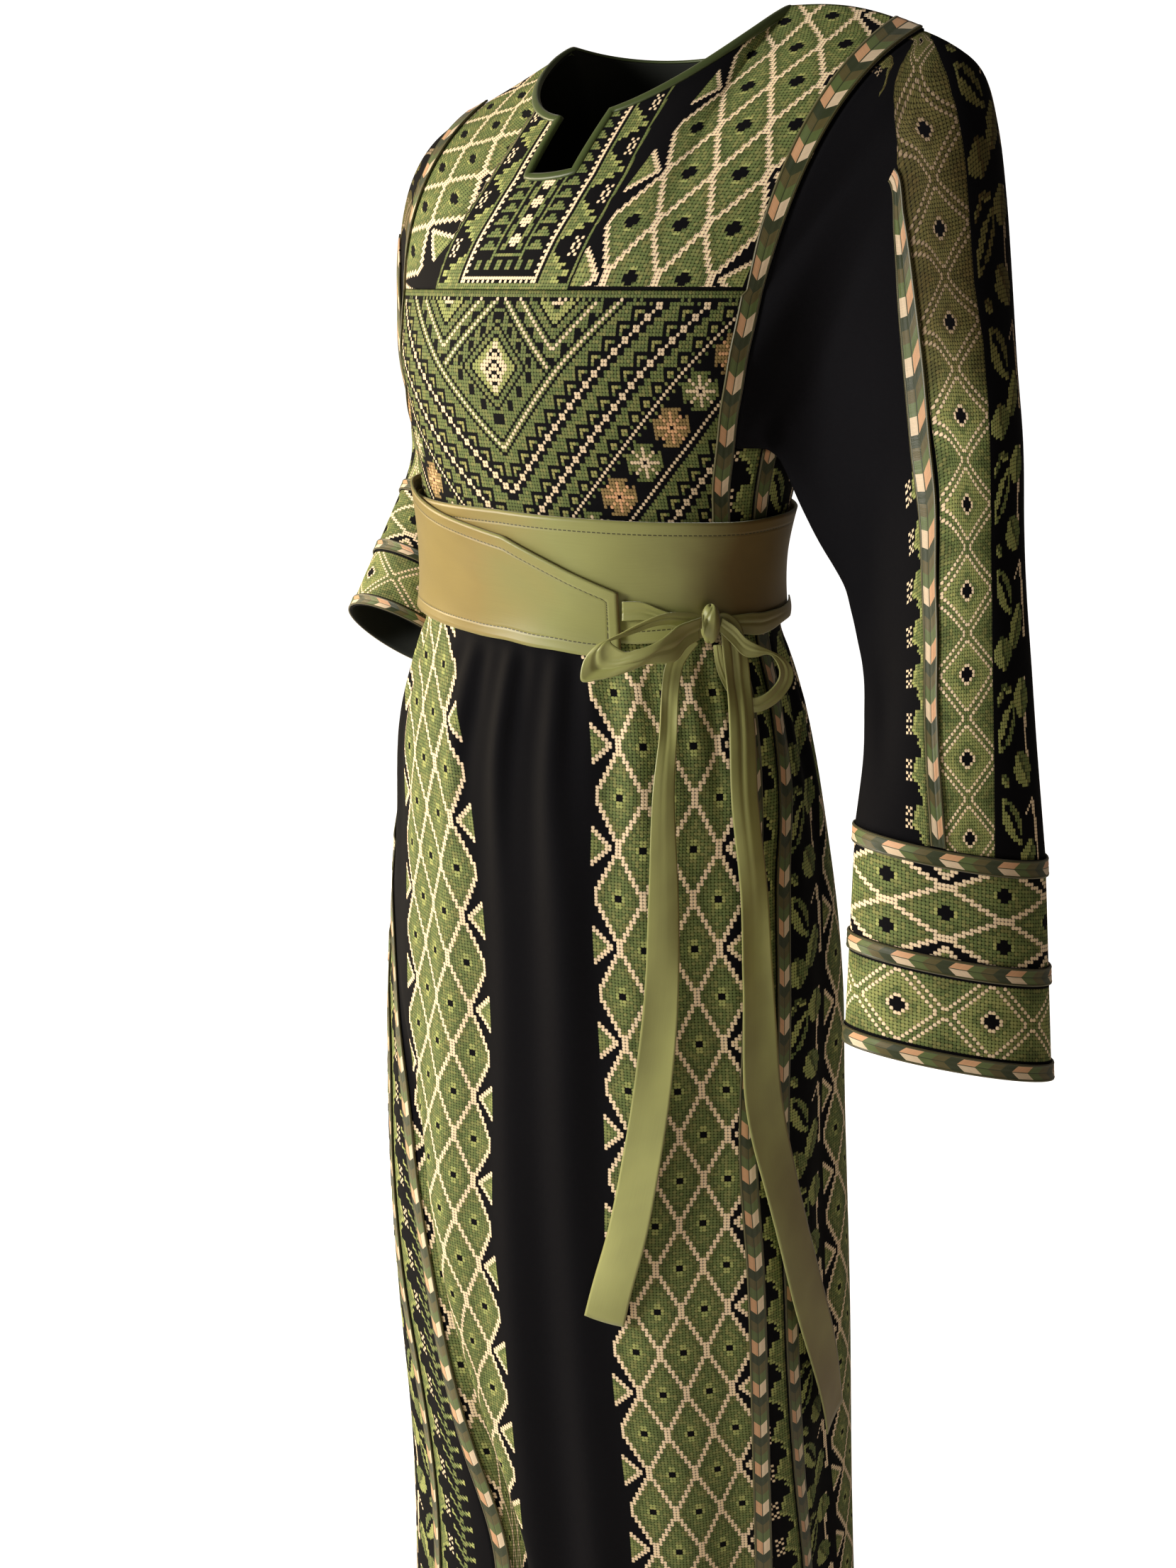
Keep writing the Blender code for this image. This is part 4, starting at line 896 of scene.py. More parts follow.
def chest_group():
    """Chest chart: slanting lines, lozenges, stair bands, rows of beads and a band of eight-pointed stars.

    x is the distance from the middle and y the distance below the chest seam, both in stitches; w counts
    stitches outwards from the large V."""
    net, u, y = new_chart("Chest chart")
    mid, light, beige, tan = (net.read(n) for n in ("Mid", "Light", "Beige", "Tan"))
    x = abs(u)
    w = x + y - 44.0
    odd_x = (x.floor() % 2.0) < 0.5
    # lozenge under the peak, ringed by rows of holes and a stair of small squares
    r = x + abs(y - 21.0)
    squares = ((x % 4.0) < 2.2) & (((y + 2.0) % 4.0) < 3.2)
    colour = net.paint(mid, (r > 4.0) & (r < 8.5), light)
    thread = ~((abs(r.floor() - 9.0) < 0.5) | (abs(r.floor() - 12.0) < 0.5))
    thread = thread & ~(squares & (r > 13.5) & (r < 17.5))
    core = x * 1.5 + abs(y - 21.0)
    colour = net.paint(colour, core < 7.5, beige)
    thread = thread & ~((core > 1.5) & (core < 6.0) & (((x + 2.0 * y).floor() % 3.0) < 0.5))
    # half lozenges hanging from the seam
    hx = abs(x - 21.0)
    m1 = hx + y - 16.0
    half = m1 < 0.5
    inner = net.paint(mid, abs(m1 + 8.0) < 1.6, light)
    inner = net.paint(inner, m1 < -10.5, beige)
    hollow = (abs(m1 + 2.0) < 0.5) | (abs(m1 + 6.0) < 0.5)
    hollow = hollow | ((m1 < -10.5) & (((hx + 2.0 * y).floor() % 3.0) < 0.5))
    inner = net.paint(inner, abs(m1) < 0.5, beige)
    # stair of squares between the half lozenges and the slanting lines
    roof = y - 1.0 - x
    between = (m1 > 0.5) & (roof < -0.5)
    thread = net.paint_mask(thread, between, ~(squares & (m1 > 1.5) & (m1 < 5.5)))
    colour = net.paint(colour, between, mid)
    colour = net.paint(colour, half, inner)
    thread = net.paint_mask(thread, half, ~hollow)
    # the slanting lines: a pale line with green either side and a row of holes beyond
    upper = w < 0.5
    for q, zone in ((roof, upper & ~half), (w, 1.0)):
        near = (abs(q) < 1.5) & zone
        colour = net.paint(colour, near, net.paint(mid, abs(q) < 0.5, beige))
        thread = thread.high(near)
        thread = thread & ~((abs(abs(q) - 2.0) < 0.5) & zone & ~near)
    # bands outside the V
    khaki = net.paint(light, 0.35, tan)

    def stair(start, end):
        nonlocal colour, thread
        middle = 44.0 + (start + end) / 2
        k = math.ceil((middle - 1.0) / 4.0)
        lag = 4.0 * k + 1.0 - middle
        p = ((x + lag) / 4.0).floor() + (y / 4.0).floor()
        p2 = ((x + lag - 1.0) / 4.0).floor() + ((y - 1.0) / 4.0).floor()
        inside = (w > start) & (w < end)
        colour = net.paint(colour, inside, net.paint(khaki, p < k - 0.5, mid))
        thread = net.paint_mask(thread, inside, ~((p > k - 0.5) & (p2 < k - 0.5)))

    def beads(at):
        nonlocal colour, thread
        k = math.ceil((44.0 + at - 2.0) / 3.0)
        lag = 3.0 * k + 2.0 - (44.0 + at)
        g = ((x + lag) / 3.0).floor() + (y / 3.0).floor()
        fx, fy = (x + lag) % 3.0, y % 3.0
        bead = (abs(g - k) < 0.5) & (fx < 2.0) & (fy < 2.0)
        link = (abs(g - k + 1.0) < 0.5) & (fx > 2.0) & (fy > 2.0)
        zone = abs(w - at) < 3.5
        colour = net.paint(colour, zone & (abs(w - at) < 2.5), beige)
        thread = net.paint_mask(thread, zone, bead | link | ((abs(w - at) > 2.5) & odd_x))

    thread = thread & ~(w > 2.5)
    for start, end in ((2.5, 9.5), (16.5, 23.5), (30.5, 36.5), (60.5, 67.5), (74.5, 80.5), (87.5, 96.5)):
        stair(start, end)
    for at in (13.0, 27.0, 71.0, 84.0):
        beads(at)
    for at in (39.0, 58.0):
        near = abs(w - at)
        colour = net.paint(colour, near < 0.5, beige)
        thread = net.paint_mask(thread, near < 2.5, (near < 0.5) | ((near > 1.5) & odd_x & (w < 50.0)))
    # stars
    n = ((x - y) / 20.0).near()
    sx, sy = x - (n * 10.0 + 46.5), y - (46.5 - n * 10.0)
    ax, ay = abs(sx), abs(sy)
    star = (ax.high(ay) < 5.6) & ((ax + ay) < 8.2) & ~((abs(ax - ay) < 1.1) & ((ax + ay) > 6.5))
    zone = (w > 41.5) & (w < 55.5)
    arms = ((ax < 0.6) | (ay < 0.6) | (abs(ax - ay) < 0.6)) & (ax.high(ay) > 0.6) & (ax.high(ay) < 4.6)
    odd = (n % 2.0) > 0.5
    tint = net.paint(mid, odd, tan)
    tint = net.paint(tint, arms, net.paint(beige, odd, net.read("Peach")))
    colour = net.paint(colour, zone, tint)
    thread = net.paint_mask(thread, zone, star & ~((ax < 0.6) & (ay < 0.6)))
    top = y < 2.0
    thread = thread & ~((y > 2.0) & (y < 3.0) & odd_x)
    return net.finished(Colour=net.paint(colour, top, mid), Thread=thread | top)


def placket_group():
    """Middle of the yoke: upright bands either side of the neck slit, turned along the foot of the panel.

    x is the distance from the middle and y the height above the chest seam, both in stitches."""
    net, u, y = new_chart("Placket chart")
    mid, light, beige = (net.read(n) for n in ("Mid", "Light", "Beige"))
    x = abs(u)
    above = y > 2.0
    # stepped leaves on the inner rope, with two small crosses between their tips, every 16 stitches
    z = x - 17.0
    q = (y + 3.0) % 16.0
    from_pair = abs(q - 8.0)
    width = 7.8 - from_pair.floor() * 1.1 - (from_pair.floor() % 2.0) * 1.3 - (from_pair > 5.5) * 3.0
    leaf = (z > 0.4) & (z < width) & above
    cross = 0.0
    dz = abs(z - 6.5)
    for at in (1.5, 14.5):
        cross = ((abs(dz - abs(q - at)) < 0.5) & (dz < 1.6)) | cross
    cross = cross & above
    colour = net.paint(mid, leaf & (z > width - 2.2), light)
    colour = net.paint(colour, cross, beige)
    thread = (y < 2.0) | leaf | cross
    # rope lines
    rope = ((abs(x - 16.5) < 0.6) | (abs(x - 26.5) < 0.6)) & above
    inner = ((abs(x - 5.5) < 0.6) & (y > 9.4)) | ((abs(y - 10.5) < 0.6) & (x < 6.0))
    colour = net.paint(colour, rope | inner, mid)
    thread = thread | rope | inner
    # pale ladder, a U round the middle with its teeth inwards
    ladder = ((x > 13.0) | (y < 4.0)) & (x < 15.0) & above
    teeth = net.paint_mask((x < 14.0) & (y > 4.0), (y < 3.0) & (x < 13.0), 1.0)
    step = net.paint_mask((y.floor() % 2.0) < 0.5, y < 4.0, (x.floor() % 2.0) < 0.5)
    rung = ladder & ~(teeth & step)
    colour = net.paint(colour, rung, beige)
    # small arrows between ladder and inner rope
    a, b = abs(x - 9.0), (y % 4.0)
    side = (a < 2.7 - (b - 0.5) * 0.8) & (b < 3.0) & (y > 11.0)
    c, d = abs((x % 4.0) - 2.0), y - 5.5
    foot = (c < 1.9 - d * 0.45) & (d > 0.0) & (d < 4.0) & (x < 12.0)
    colour = net.paint(colour, side | foot, mid)
    thread = thread | rung | side | foot
    # small flowers down the middle with leaves either side
    e = (y % 6.0) - 3.0
    flower = (((abs(e) < 1.6) & (x < 0.6)) | ((abs(e) < 0.6) & (x < 1.6))) & (y > 12.0)
    g = abs(((y + 3.0) % 6.0) - 3.0)
    pair = (x > 1.6) & (x < 4.6 - g * 0.5) & (g < 2.6) & (y > 12.0)
    colour = net.paint(colour, flower, beige)
    return net.finished(Colour=net.paint(colour, pair, mid), Thread=(thread | pair | flower) & (x < 27.2))


def braid_group():
    """Satin braid: chevrons of four colours that point down the strip, with a corded edge on either side.

    The map is in millimetres, u across from the middle and v along."""
    net = new_group("Braid", THREADS, [("Colour", COL), ("Height", FLO)])
    u, v, _ = net.parts(net.read("Map"))
    dark, mid = net.read("Dark"), net.read("Mid")
    a = abs(u)
    t = v + a * 0.95
    q = t % 38.0
    edge = a > 5.3
    streak = net.noise(net.join(t * 1.6, u * 0.05), 1.0, 3.0, 0.7)
    # painted highlight: one half of each peach chevron is beige, standing in for the sheen on that half of
    # the satin
    peach = net.paint(net.read("Peach"), u > 0.0, net.read("Beige"))
    colour = net.paint(peach, q > 12.0, dark)
    colour = net.paint(colour, q > 20.5, mid)
    colour = net.paint(colour, q > 29.0, net.read("Light"))
    colour = net.paint(colour, a < 0.35, dark)
    cord = net.paint(mid, (v * 0.9 + u) % 1.0 < 0.35, dark)
    cord = net.paint(cord, a < 5.7, dark)
    colour = net.paint(colour, edge, cord)
    round_edge = 1.0 - abs(a - 6.2) * 1.1
    fold = net.calc("PINGPONG", t * 1.3, 0.5)
    return net.finished(Colour=net.shade(colour, 0.72 + streak * 0.56),
                        Height=net.paint_mask(streak * 0.4 + fold * 0.5, edge, round_edge))


def satin_group():
    """Satin with the fine slubs of its weft, soft bands of colour and a dark running stitch by its edges, and
    painted light and shade: a gold tint where it faces the lit side and a dark umber tint where it faces
    away.
    """
    numbers = [(label, FLO, 0.0) for label in ("Edge", "Stitched", "Aside")]
    net = new_group("Satin", [("Satin", COL, None)] + numbers,
                    [("Colour", COL), ("Height", FLO), ("Rough", FLO)])
    u, v, _ = net.parts(net.read("Map"))
    stitched_on, edge = net.read("Stitched"), net.read("Edge")
    slub = net.noise(net.join(u * 0.02, v * 2.4), 1.0, 3.0, 0.65)
    cloud = net.noise(net.join(u * 0.02 + v * 0.012, v * 0.03), 1.0, 2.0, 0.5)
    # painted light and shade: a gold tint where the satin faces the lit side, a dark umber tint where it
    # faces away
    lit_side = net.read("Aside") + (cloud - 0.5) * 0.16
    painted_light = ((lit_side - 0.40) * 3.4).high(0.0).low(1.0)
    painted_shade = ((-0.10 - lit_side) * 2.6).high(0.0).low(1.0)
    colour = net.paint(net.read("Satin"), painted_light * 0.85, PAINTED_LIGHT_GOLD)
    colour = net.paint(colour, painted_shade * 0.85, PAINTED_SHADE_BROWN)
    colour = net.shade(colour, 0.70 + slub * 0.22 + cloud * (0.52 - stitched_on * 0.30) + stitched_on * 0.08)
    row = (abs(edge - 9.0) < 0.42) & (u % 3.6 < 2.5) & (stitched_on > 0.5)
    dip = 1.0 - (abs(edge - 9.0) / 1.6).low(1.0)
    return net.finished(Colour=net.paint(colour, row, SEWING), Rough=0.34 + slub * 0.16,
                        Height=slub * 0.25 - dip * stitched_on * 1.6 + row * 0.9)


def weave_group():
    """Plain crepe: a fine pebbled weave on Object coordinates, with a faint change of shade."""
    net = new_group("Crepe weave", [("Cloth", COL, BLACK)], [("Colour", COL), ("Height", FLO)])
    where = net.read("Map")
    grain = net.noise(where, 1600.0, 2.0, 0.6)
    cloud = net.noise(where, 14.0, 2.0, 0.5)
    return net.finished(Colour=net.shade(net.read("Cloth"), 0.70 + grain * 0.4 + cloud * 0.3), Height=grain)


def groups():
    """The shared node groups, built once."""
    if not GROUPS:
        GROUPS.update(cross=cross_group(), weave=weave_group(), lattice=lattice_group(),
                      nested=nested_group(), leaves=leaf_group(), spray=spray_group(), hooks=hooks_group(),
                      chest=chest_group(), placket=placket_group(), braid=braid_group(), satin=satin_group())
    return GROUPS


# =====================================================================  materials
def opaque(colour):
    """Colour of a panel property with full alpha."""
    return tuple(colour) + (1.0,)


def thread_colours():
    """The six thread colours set in the panel, by the names of a chart's inputs."""
    threads = bpy.context.scene.dress_finish
    return {label: opaque(getattr(threads, label.lower())) for label, _, _ in THREADS}


def blank(name):
    """Material with only its Principled shader, and the Net that draws on its tree."""
    mat = bpy.data.materials.new(name)
    mat.use_nodes = True
    net = Net(mat.node_tree)
    return mat, net, mat.node_tree.nodes["Principled BSDF"]


def uv_map(net, label="Stitches"):
    """One of a piece's own maps."""
    node = net.nodes.new("ShaderNodeUVMap")
    node.uv_map = label
    return node.outputs[0]


def object_place(net):
    """Place on the piece in Object coordinates."""
    return net.nodes.new("ShaderNodeTexCoord").outputs["Object"]


def bump(net, shader, height, depth, strength):
    """Raises a finish by a height from 0 to 1, with depth in metres."""
    node = net.nodes.new("ShaderNodeBump")
    net.fill(node, Distance=depth, Strength=strength, Height=height)
    net.fill(shader, Normal=node.outputs[0])


def between(value, limits):
    """One where a value lies between two limits."""
    return (value > limits[0]) & (value < limits[1])


def stitched_cloth(name, charts, depth=1.0, shade_above_elbow=False):
    """Black crepe with charts of cross stitch on it.

    charts is a list of (group, shift, options). shift moves the chart's own zero; options may turn it a
    quarter, flip it, mirror it about u = 0, or keep it between two values of u or v. depth is painted light
    and shade: it makes the same threads lighter or darker on one panel than on another. The elbow flag paints
    shade on the thread above the elbow, making it darker and browner."""
    mat, net, shader = blank(name)
    g = groups()
    where = object_place(net)
    ground = net.place(g["weave"], Map=where, Cloth=BLACK)
    colour, height = ground.outputs["Colour"], Num(net, ground.outputs["Height"])
    threads = 0.0
    stitches = uv_map(net)
    u0, v, _ = net.parts(stitches)
    for kind, shift, options in charts:
        u = abs(u0) if "mirror" in options else u0
        if "flip" in options:
            u = u * -1.0
        place = (u - shift[0], v - shift[1])
        if "turn" in options:
            place = place[::-1]
        node = net.place(g[kind], Map=net.join(*place), **thread_colours(), **options.get("inputs", {}))
        mask = Num(net, node.outputs["Thread"])
        for value, label in ((u, "between_u"), (v, "between_v")):
            if label in options:
                mask = mask & between(value, options[label])
        colour = net.paint(colour, mask, node.outputs["Colour"])
        threads = mask | threads
    cross = net.place(g["cross"], Map=stitches)
    # painted shading: the thread is lighter on the raised crowns of its crossed strands and darker in the
    # grooves between them; the holes at its corners are the black cloth showing through
    tint, hole, ridge = (Num(net, cross.outputs[label]) for label in ("Tint", "Hole", "Height"))
    patch = net.noise(where, 9.0, 3.0, 0.6)
    # depth is painted light and shade: the same threads made lighter or darker on one panel than on another
    look = (0.80 + ridge * 0.42 + tint * 0.36 + patch * 0.22 - hole * 1.5) * depth
    colour = net.paint(colour, (tint - 0.45).high(0.0) * threads * 0.5, TAN_FLECK)
    # painted shade: the thread above the elbow is made darker and browner, standing in for the shade on the
    # upper sleeve
    if shade_above_elbow:
        z = net.parts(where)[2]
        painted_shade = ((z + 0.27) * 14.0).high(0.0).low(1.0) * (1.0 - ((z + 0.07) * 12.0).high(0.0).low(0.55))
        colour = net.paint(colour, painted_shade * threads * 0.42, SHADE_BROWN)
        look = look * (1.0 - painted_shade * 0.52)
    colour = net.shade(colour, net.paint_mask(1.0, threads, look))
    net.fill(shader, Base_Color=colour, Roughness=net.paint_mask(0.86, threads, 0.62),
             Specular_IOR_Level=0.12)
    bump(net, shader, net.paint_mask(height * 0.12, threads, 0.45 + ridge * 0.55 - hole * 0.35), 0.0005, 0.8)
    return mat


def lining():
    """Plain inside of the embroidered cloth: grey-green thread backs under a dark weave."""
    mat, net, shader = blank("Lining")
    node = net.place(groups()["weave"], Map=object_place(net), Cloth=LINING_GREY)
    net.fill(shader, Base_Color=node.outputs["Colour"], Roughness=0.9)
    bump(net, shader, node.outputs["Height"], 0.0001, 1.0)
    return mat


def braid_finish():
    """Satin braid in duller colours of its own, with peach and beige from the panel."""
    mat, net, shader = blank("Satin braid")
    node = net.place(groups()["braid"], Map=uv_map(net), **{**thread_colours(), **BRAID_DYES})
    net.fill(shader, Base_Color=node.outputs["Colour"], Roughness=0.42, Specular_IOR_Level=0.5,
             Sheen_Weight=0.15)
    bump(net, shader, node.outputs["Height"], 0.0004, 0.7)
    return mat


# direction of the lit side: satin facing it gets a painted light tint, satin facing away a painted shade tint
LIT_WAY = (-0.788, -0.616, 0.0)


def satin_finish(colour, name, stitched_on, light_and_shade_share):
    """Satin with painted light and shade, as strong as the share given: a gold tint where it faces the lit
    side, a dark umber tint where it faces away.
    """
    mat, net, shader = blank(name)
    dot = net.nodes.new("ShaderNodeVectorMath")
    dot.operation = "DOT_PRODUCT"
    net.feed(dot.inputs[0], net.nodes.new("ShaderNodeNewGeometry").outputs["Normal"])
    net.feed(dot.inputs[1], LIT_WAY)
    node = net.place(groups()["satin"], Map=uv_map(net), Edge=net.parts(uv_map(net, "Edge"))[0], Satin=colour,
                     Stitched=stitched_on, Aside=Num(net, dot.outputs["Value"]) * light_and_shade_share)
    net.fill(shader, Base_Color=node.outputs["Colour"], Roughness=node.outputs["Rough"],
             Specular_IOR_Level=0.62, Anisotropic=0.45, Sheen_Weight=0.25, Sheen_Roughness=0.35)
    bump(net, shader, node.outputs["Height"], 0.0003, 0.6)
    return mat


# embroidered cloths: name, charts with their shifts in stitches and options, and look; in the look, depth is
# painted light and shade on the thread, and the elbow flag paints shade on the upper sleeve
HERE = (0.0, 0.0)
CLOTHS = {
    "front skirt": ("Lattice cloth", [("lattice", HERE, {})], {"depth": 0.95}),
    "side skirt": ("Side cloth", [("spray", (3.0, 0.0), {"between_u": (3.0, 23.0)}),
                                  ("lattice", (46.5, 0.0), {})], {}),
    "gore": ("Gore cloth", [("leaves", (3.0, 0.0), {"between_u": (2.0, 14.0)}),
                            ("hooks", (20.5, 0.0), {"between_u": (14.0, 27.0)})], {}),
    "chest": ("Chest cloth", [("chest", HERE, {})], {"depth": 0.82}),
    "yoke": ("Yoke cloth", [
        ("lattice", (50.7, 18.2), {"mirror": True, "between_u": (27.0, 200.0), "between_v": (1.0, 400.0),
                                   "inputs": {"Plus": 1.0, "Leaf": 9.2}}),
        ("placket", HERE, {})], {"depth": 1.06}),
    "back": ("Back cloth", [("lattice", (50.0, 1.5), {"mirror": True, "inputs": {"Plus": 1.0}})], {}),
    "sleeve": ("Sleeve cloth", [
        ("nested", (12.9, 0.0), {"between_u": (2.6, 23.2), "inputs": {"Half_width": 12.0}}),
        ("spray", (23.0, 0.0), {"between_u": (23.5, 45.0)}),
        ("leaves", (2.6, 0.0), {"flip": True, "between_u": (2.6, 14.0), "between_v": (90.0, 400.0)}),
        ("leaves", (2.6, 0.0), {"flip": True, "between_u": (2.6, 14.0), "between_v": (-20.0, 1.0)})],
        # the sleeve's thread gets painted shade above the elbow
        {"shade_above_elbow": True}),
    "cuff": ("Cuff cloth", [
        ("lattice", (0.0, 17.0), {"turn": True, "between_v": (5.0, 29.2),
                                  "inputs": {"Reach": 7.0, "Plus": 1.0}}),
        ("nested", (0.0, 44.9), {"turn": True, "between_v": (34.9, 55.0),
                                 "inputs": {"Half_width": 12.0}})], {}),
}
# satins: name, whether it is stitched along its edge and how strong its painted light and shade are
SATINS = {"sash": ("Sash satin", 1.0, 1.0), "tie": ("Tie satin", 0.0, 0.5),
          "binding": ("Binding satin", 0.0, 0.0)}
MADE = {}


def new_finish(kind):
    """A finish by its own name."""
    if kind in CLOTHS:
        name, charts, look = CLOTHS[kind]
        return stitched_cloth(name, charts, **look)
    if kind in SATINS:
        satin = BINDING_GREEN if kind == "binding" else opaque(bpy.context.scene.dress_finish.satin)
        return satin_finish(satin, *SATINS[kind])
    return {"lining": lining, "braid": braid_finish}[kind]()


def finish_of(kind):
    """Each finish, made the first time that a piece asks for it."""
    if kind not in MADE:
        MADE[kind] = new_finish(kind)
    return MADE[kind]


# =====================================================================  pieces
def pull_in(p, sides, dist=SEAM):
    """Moves borders of a grid inwards, so that panels stop short of their seams: a and b the first and last
    column, c and d the first and last row."""
    p = p.copy()
    for side, edge, inner in (("a", np.s_[0], np.s_[1]), ("b", np.s_[-1], np.s_[-2]),
                              ("c", np.s_[:, 0], np.s_[:, 1]), ("d", np.s_[:, -1], np.s_[:, -2])):
        if side in sides:
            p[edge] += unit(p[inner] - p[edge]) * dist
    return p


def sew(name, p, u, v, kind, wrap=False, keep=None, flip=False):
    """Embroidered and lined piece, with its stitch map and its flat cut."""
    obj = make_piece(name, p, {"Stitches": np.stack([u, v], -1)}, [finish_of(kind), finish_of("lining")],
                     CLOTH_T, wrap, keep, flip)
    cut_sheet(p, wrap)


def line(which, turn=0.0):
    """Seam line as a function of height."""
    return lambda z: seam(which, z) + turn


def panel(left, right, z, count, extra, sides):
    """Panel between two seam lines: even columns at each height, moved along the normal by extra.

    Gives the angles and heights of its points, the points and their distance along each row in stitches."""
    theta = mix(left(z)[None], right(z)[None], np.linspace(0, 1, count)[:, None])
    zz = np.broadcast_to(z, theta.shape)
    p = pull_in(body(theta, zz) + body_normal(theta, zz) * extra(theta, zz)[..., None], sides)
    return theta, zz, p, reach(p, 0) / STITCH


def at_turn(theta, s, turn):
    """Distance along each row of a panel at an angle round the body."""
    return at_column(s, (turn - theta[0]) / (theta[-1] - theta[0]) * (len(s) - 1))


def gathers(theta, z):
    """Fine gathers below the sash that die out down the skirt, and slow folds lower down."""
    below = ramp(-z, 0.425, 0.45)
    top = below * (1 - ramp(-z, 0.47, 0.66))
    t = np.radians(theta)
    fine = np.sin(t * 41 + 2.0 * np.sin(t * 5)) * 0.0011 + np.sin(t * 27 + 1.3) * 0.0009
    slow = np.sin(t * 9 + z * 3.0) * 0.0012 + np.sin(t * 15 - z * 5.0 + 0.6) * 0.0009
    return fine * top + slow * below * ramp(-z, 0.43, 0.60)


def skirt_rows(count):
    """Heights of the skirt's rows, closer together under the sash."""
    t = np.linspace(0, 1, count)
    return HEM_Z + (WAIST_Z - HEM_Z) * (1 - (1 - t) ** 1.15)


def lattice_rows(z):
    """Stitch row number at a height of the skirt."""
    return -z / ROW - ROW_SHIFT


def make_skirt_front():
    """Front of the skirt: a lattice column along each edge of its plain middle panel."""
    z = skirt_rows(230)
    theta, zz, p, s = panel(line(FRONT_R), line(FRONT_L), z, 150, gathers, "abd")
    edge, far_edge = (at_turn(theta, s, smooth(z, MIDDLE[:, 0], MIDDLE[:, k])) for k in (1, 2))
    left, right = s - far_edge, edge - s
    folded = mix(right - COLUMN, COLUMN - s, ramp(right / edge, 0.35, 0.65))
    u = np.where(left > right, left - COLUMN, np.where(edge < 2 * COLUMN, folded, right - COLUMN))
    sew("skirt_front", p, u, lattice_rows(zz), "front skirt")


def make_skirt_sides():
    """Side panels of the skirt, their charts starting at the front seam."""
    z = skirt_rows(200)
    for side, lo, hi in (("left", line(GORE_L), line(BACK_L)),
                         ("right", line(BACK_R, 360.0), line(GORE_R, 360.0))):
        _, zz, p, s = panel(lo, hi, z, 70, gathers, "abd")
        u = s if side == "left" else s[-1] - s
        sew("skirt_side_" + side, p, u, lattice_rows(zz), "side skirt")


def make_skirt_back():
    """Back of the skirt: two lattice columns beside its middle."""
    _, zz, p, s = panel(line(BACK_L), line(BACK_R, 360.0), skirt_rows(200), 90, gathers, "abd")
    u = abs(s - s[-1] / 2) - BACK_PLAIN - COLUMN
    sew("skirt_back", p, u, lattice_rows(zz), "front skirt")


def make_gores():
    """Narrow gores between the front and the sides, of the skirt and of the bodice."""
    for part, rows, sides in (("skirt_gore_", skirt_rows(200), "abd"),
                              ("bodice_gore_", np.linspace(WAIST_Z, ARM_Z, 26), "abcd")):
        for side, lo, hi in (("left", FRONT_L, GORE_L), ("right", GORE_R, FRONT_R)):
            _, zz, p, s = panel(line(lo), line(hi), rows, 14, gathers, sides)
            u = s[-1] - s if side == "left" else s
            sew(part + side, p, u + 3.0, lattice_rows(zz), "gore")


def make_chest():
    """Chest panel: its chart hangs from the chest seam and leans with the middle of the panel."""
    z = np.linspace(WAIST_Z, CHEST_Z, 70)
    theta, zz, p, s = panel(line(FRONT_R), line(FRONT_L), z, 150, chest_pull, "abcd")
    v = (CHEST_Z - zz) / STITCH
    u = s - at_turn(theta, s, CHEST_MIDDLE) - np.interp(v, [0, 20, 40, 60], [-0.7, 0.6, 3.6, 6.5])
    sew("front_chest_panel", p, np.where(u > 0, 1.17, 1.0) * u, 1.08 * v, "chest")


def chest_pull(theta, z):
    """Small drag folds of the chest panel: slanting ripples at its sides, fading towards the seam."""
    side = ramp(abs(theta), 30.0, 55.0)
    fade = ramp(CHEST_Z - z, 0.01, 0.05) * ramp(z - WAIST_Z, 0.0, 0.05)
    return np.sin((z * 130.0) + np.radians(theta) * 7.0) * 0.0007 * side * fade


def make_bodice_sides():
    """Side pieces of the bodice below the arms."""
    z = np.linspace(WAIST_Z, ARM_Z, 30)
    for side, lo, hi in (("left", line(GORE_L), line(BACK_L)), ("right", line(BACK_R), line(GORE_R))):
        _, zz, p, s = panel(lo, hi, z, 46, lambda theta, z: 0 * theta, "abcd")
        u = s if side == "left" else s[-1] - s
        sew("bodice_side_" + side, p, u, lattice_rows(zz), "side skirt")


def yoke_surface():
    """Column and row numbers of the yoke, with the slit's sides and foot on lines of the grid, its points and
    which of its cells are cloth."""
    us = np.concatenate([np.linspace(-1, -SLIT_U, 66)[:-1], np.linspace(-SLIT_U, SLIT_U, 2 * SLIT_HALF + 1),
                         np.linspace(SLIT_U, 1, 66)[1:]])
    vs = np.concatenate([np.linspace(0, SLIT_V, SLIT_ROW + 1)[:-1], np.linspace(SLIT_V, 1, 30)])
    u, v = np.meshgrid(us, vs, indexing="ij")
    keep = np.ones((len(us) - 1, len(vs) - 1), bool)
    middle = abs(us[:-1] + us[1:]) / 2 < SLIT_U
    keep[np.ix_(middle, (vs[:-1] + vs[1:]) / 2 > SLIT_V)] = False
    return us, vs, yoke_column(u, v), keep


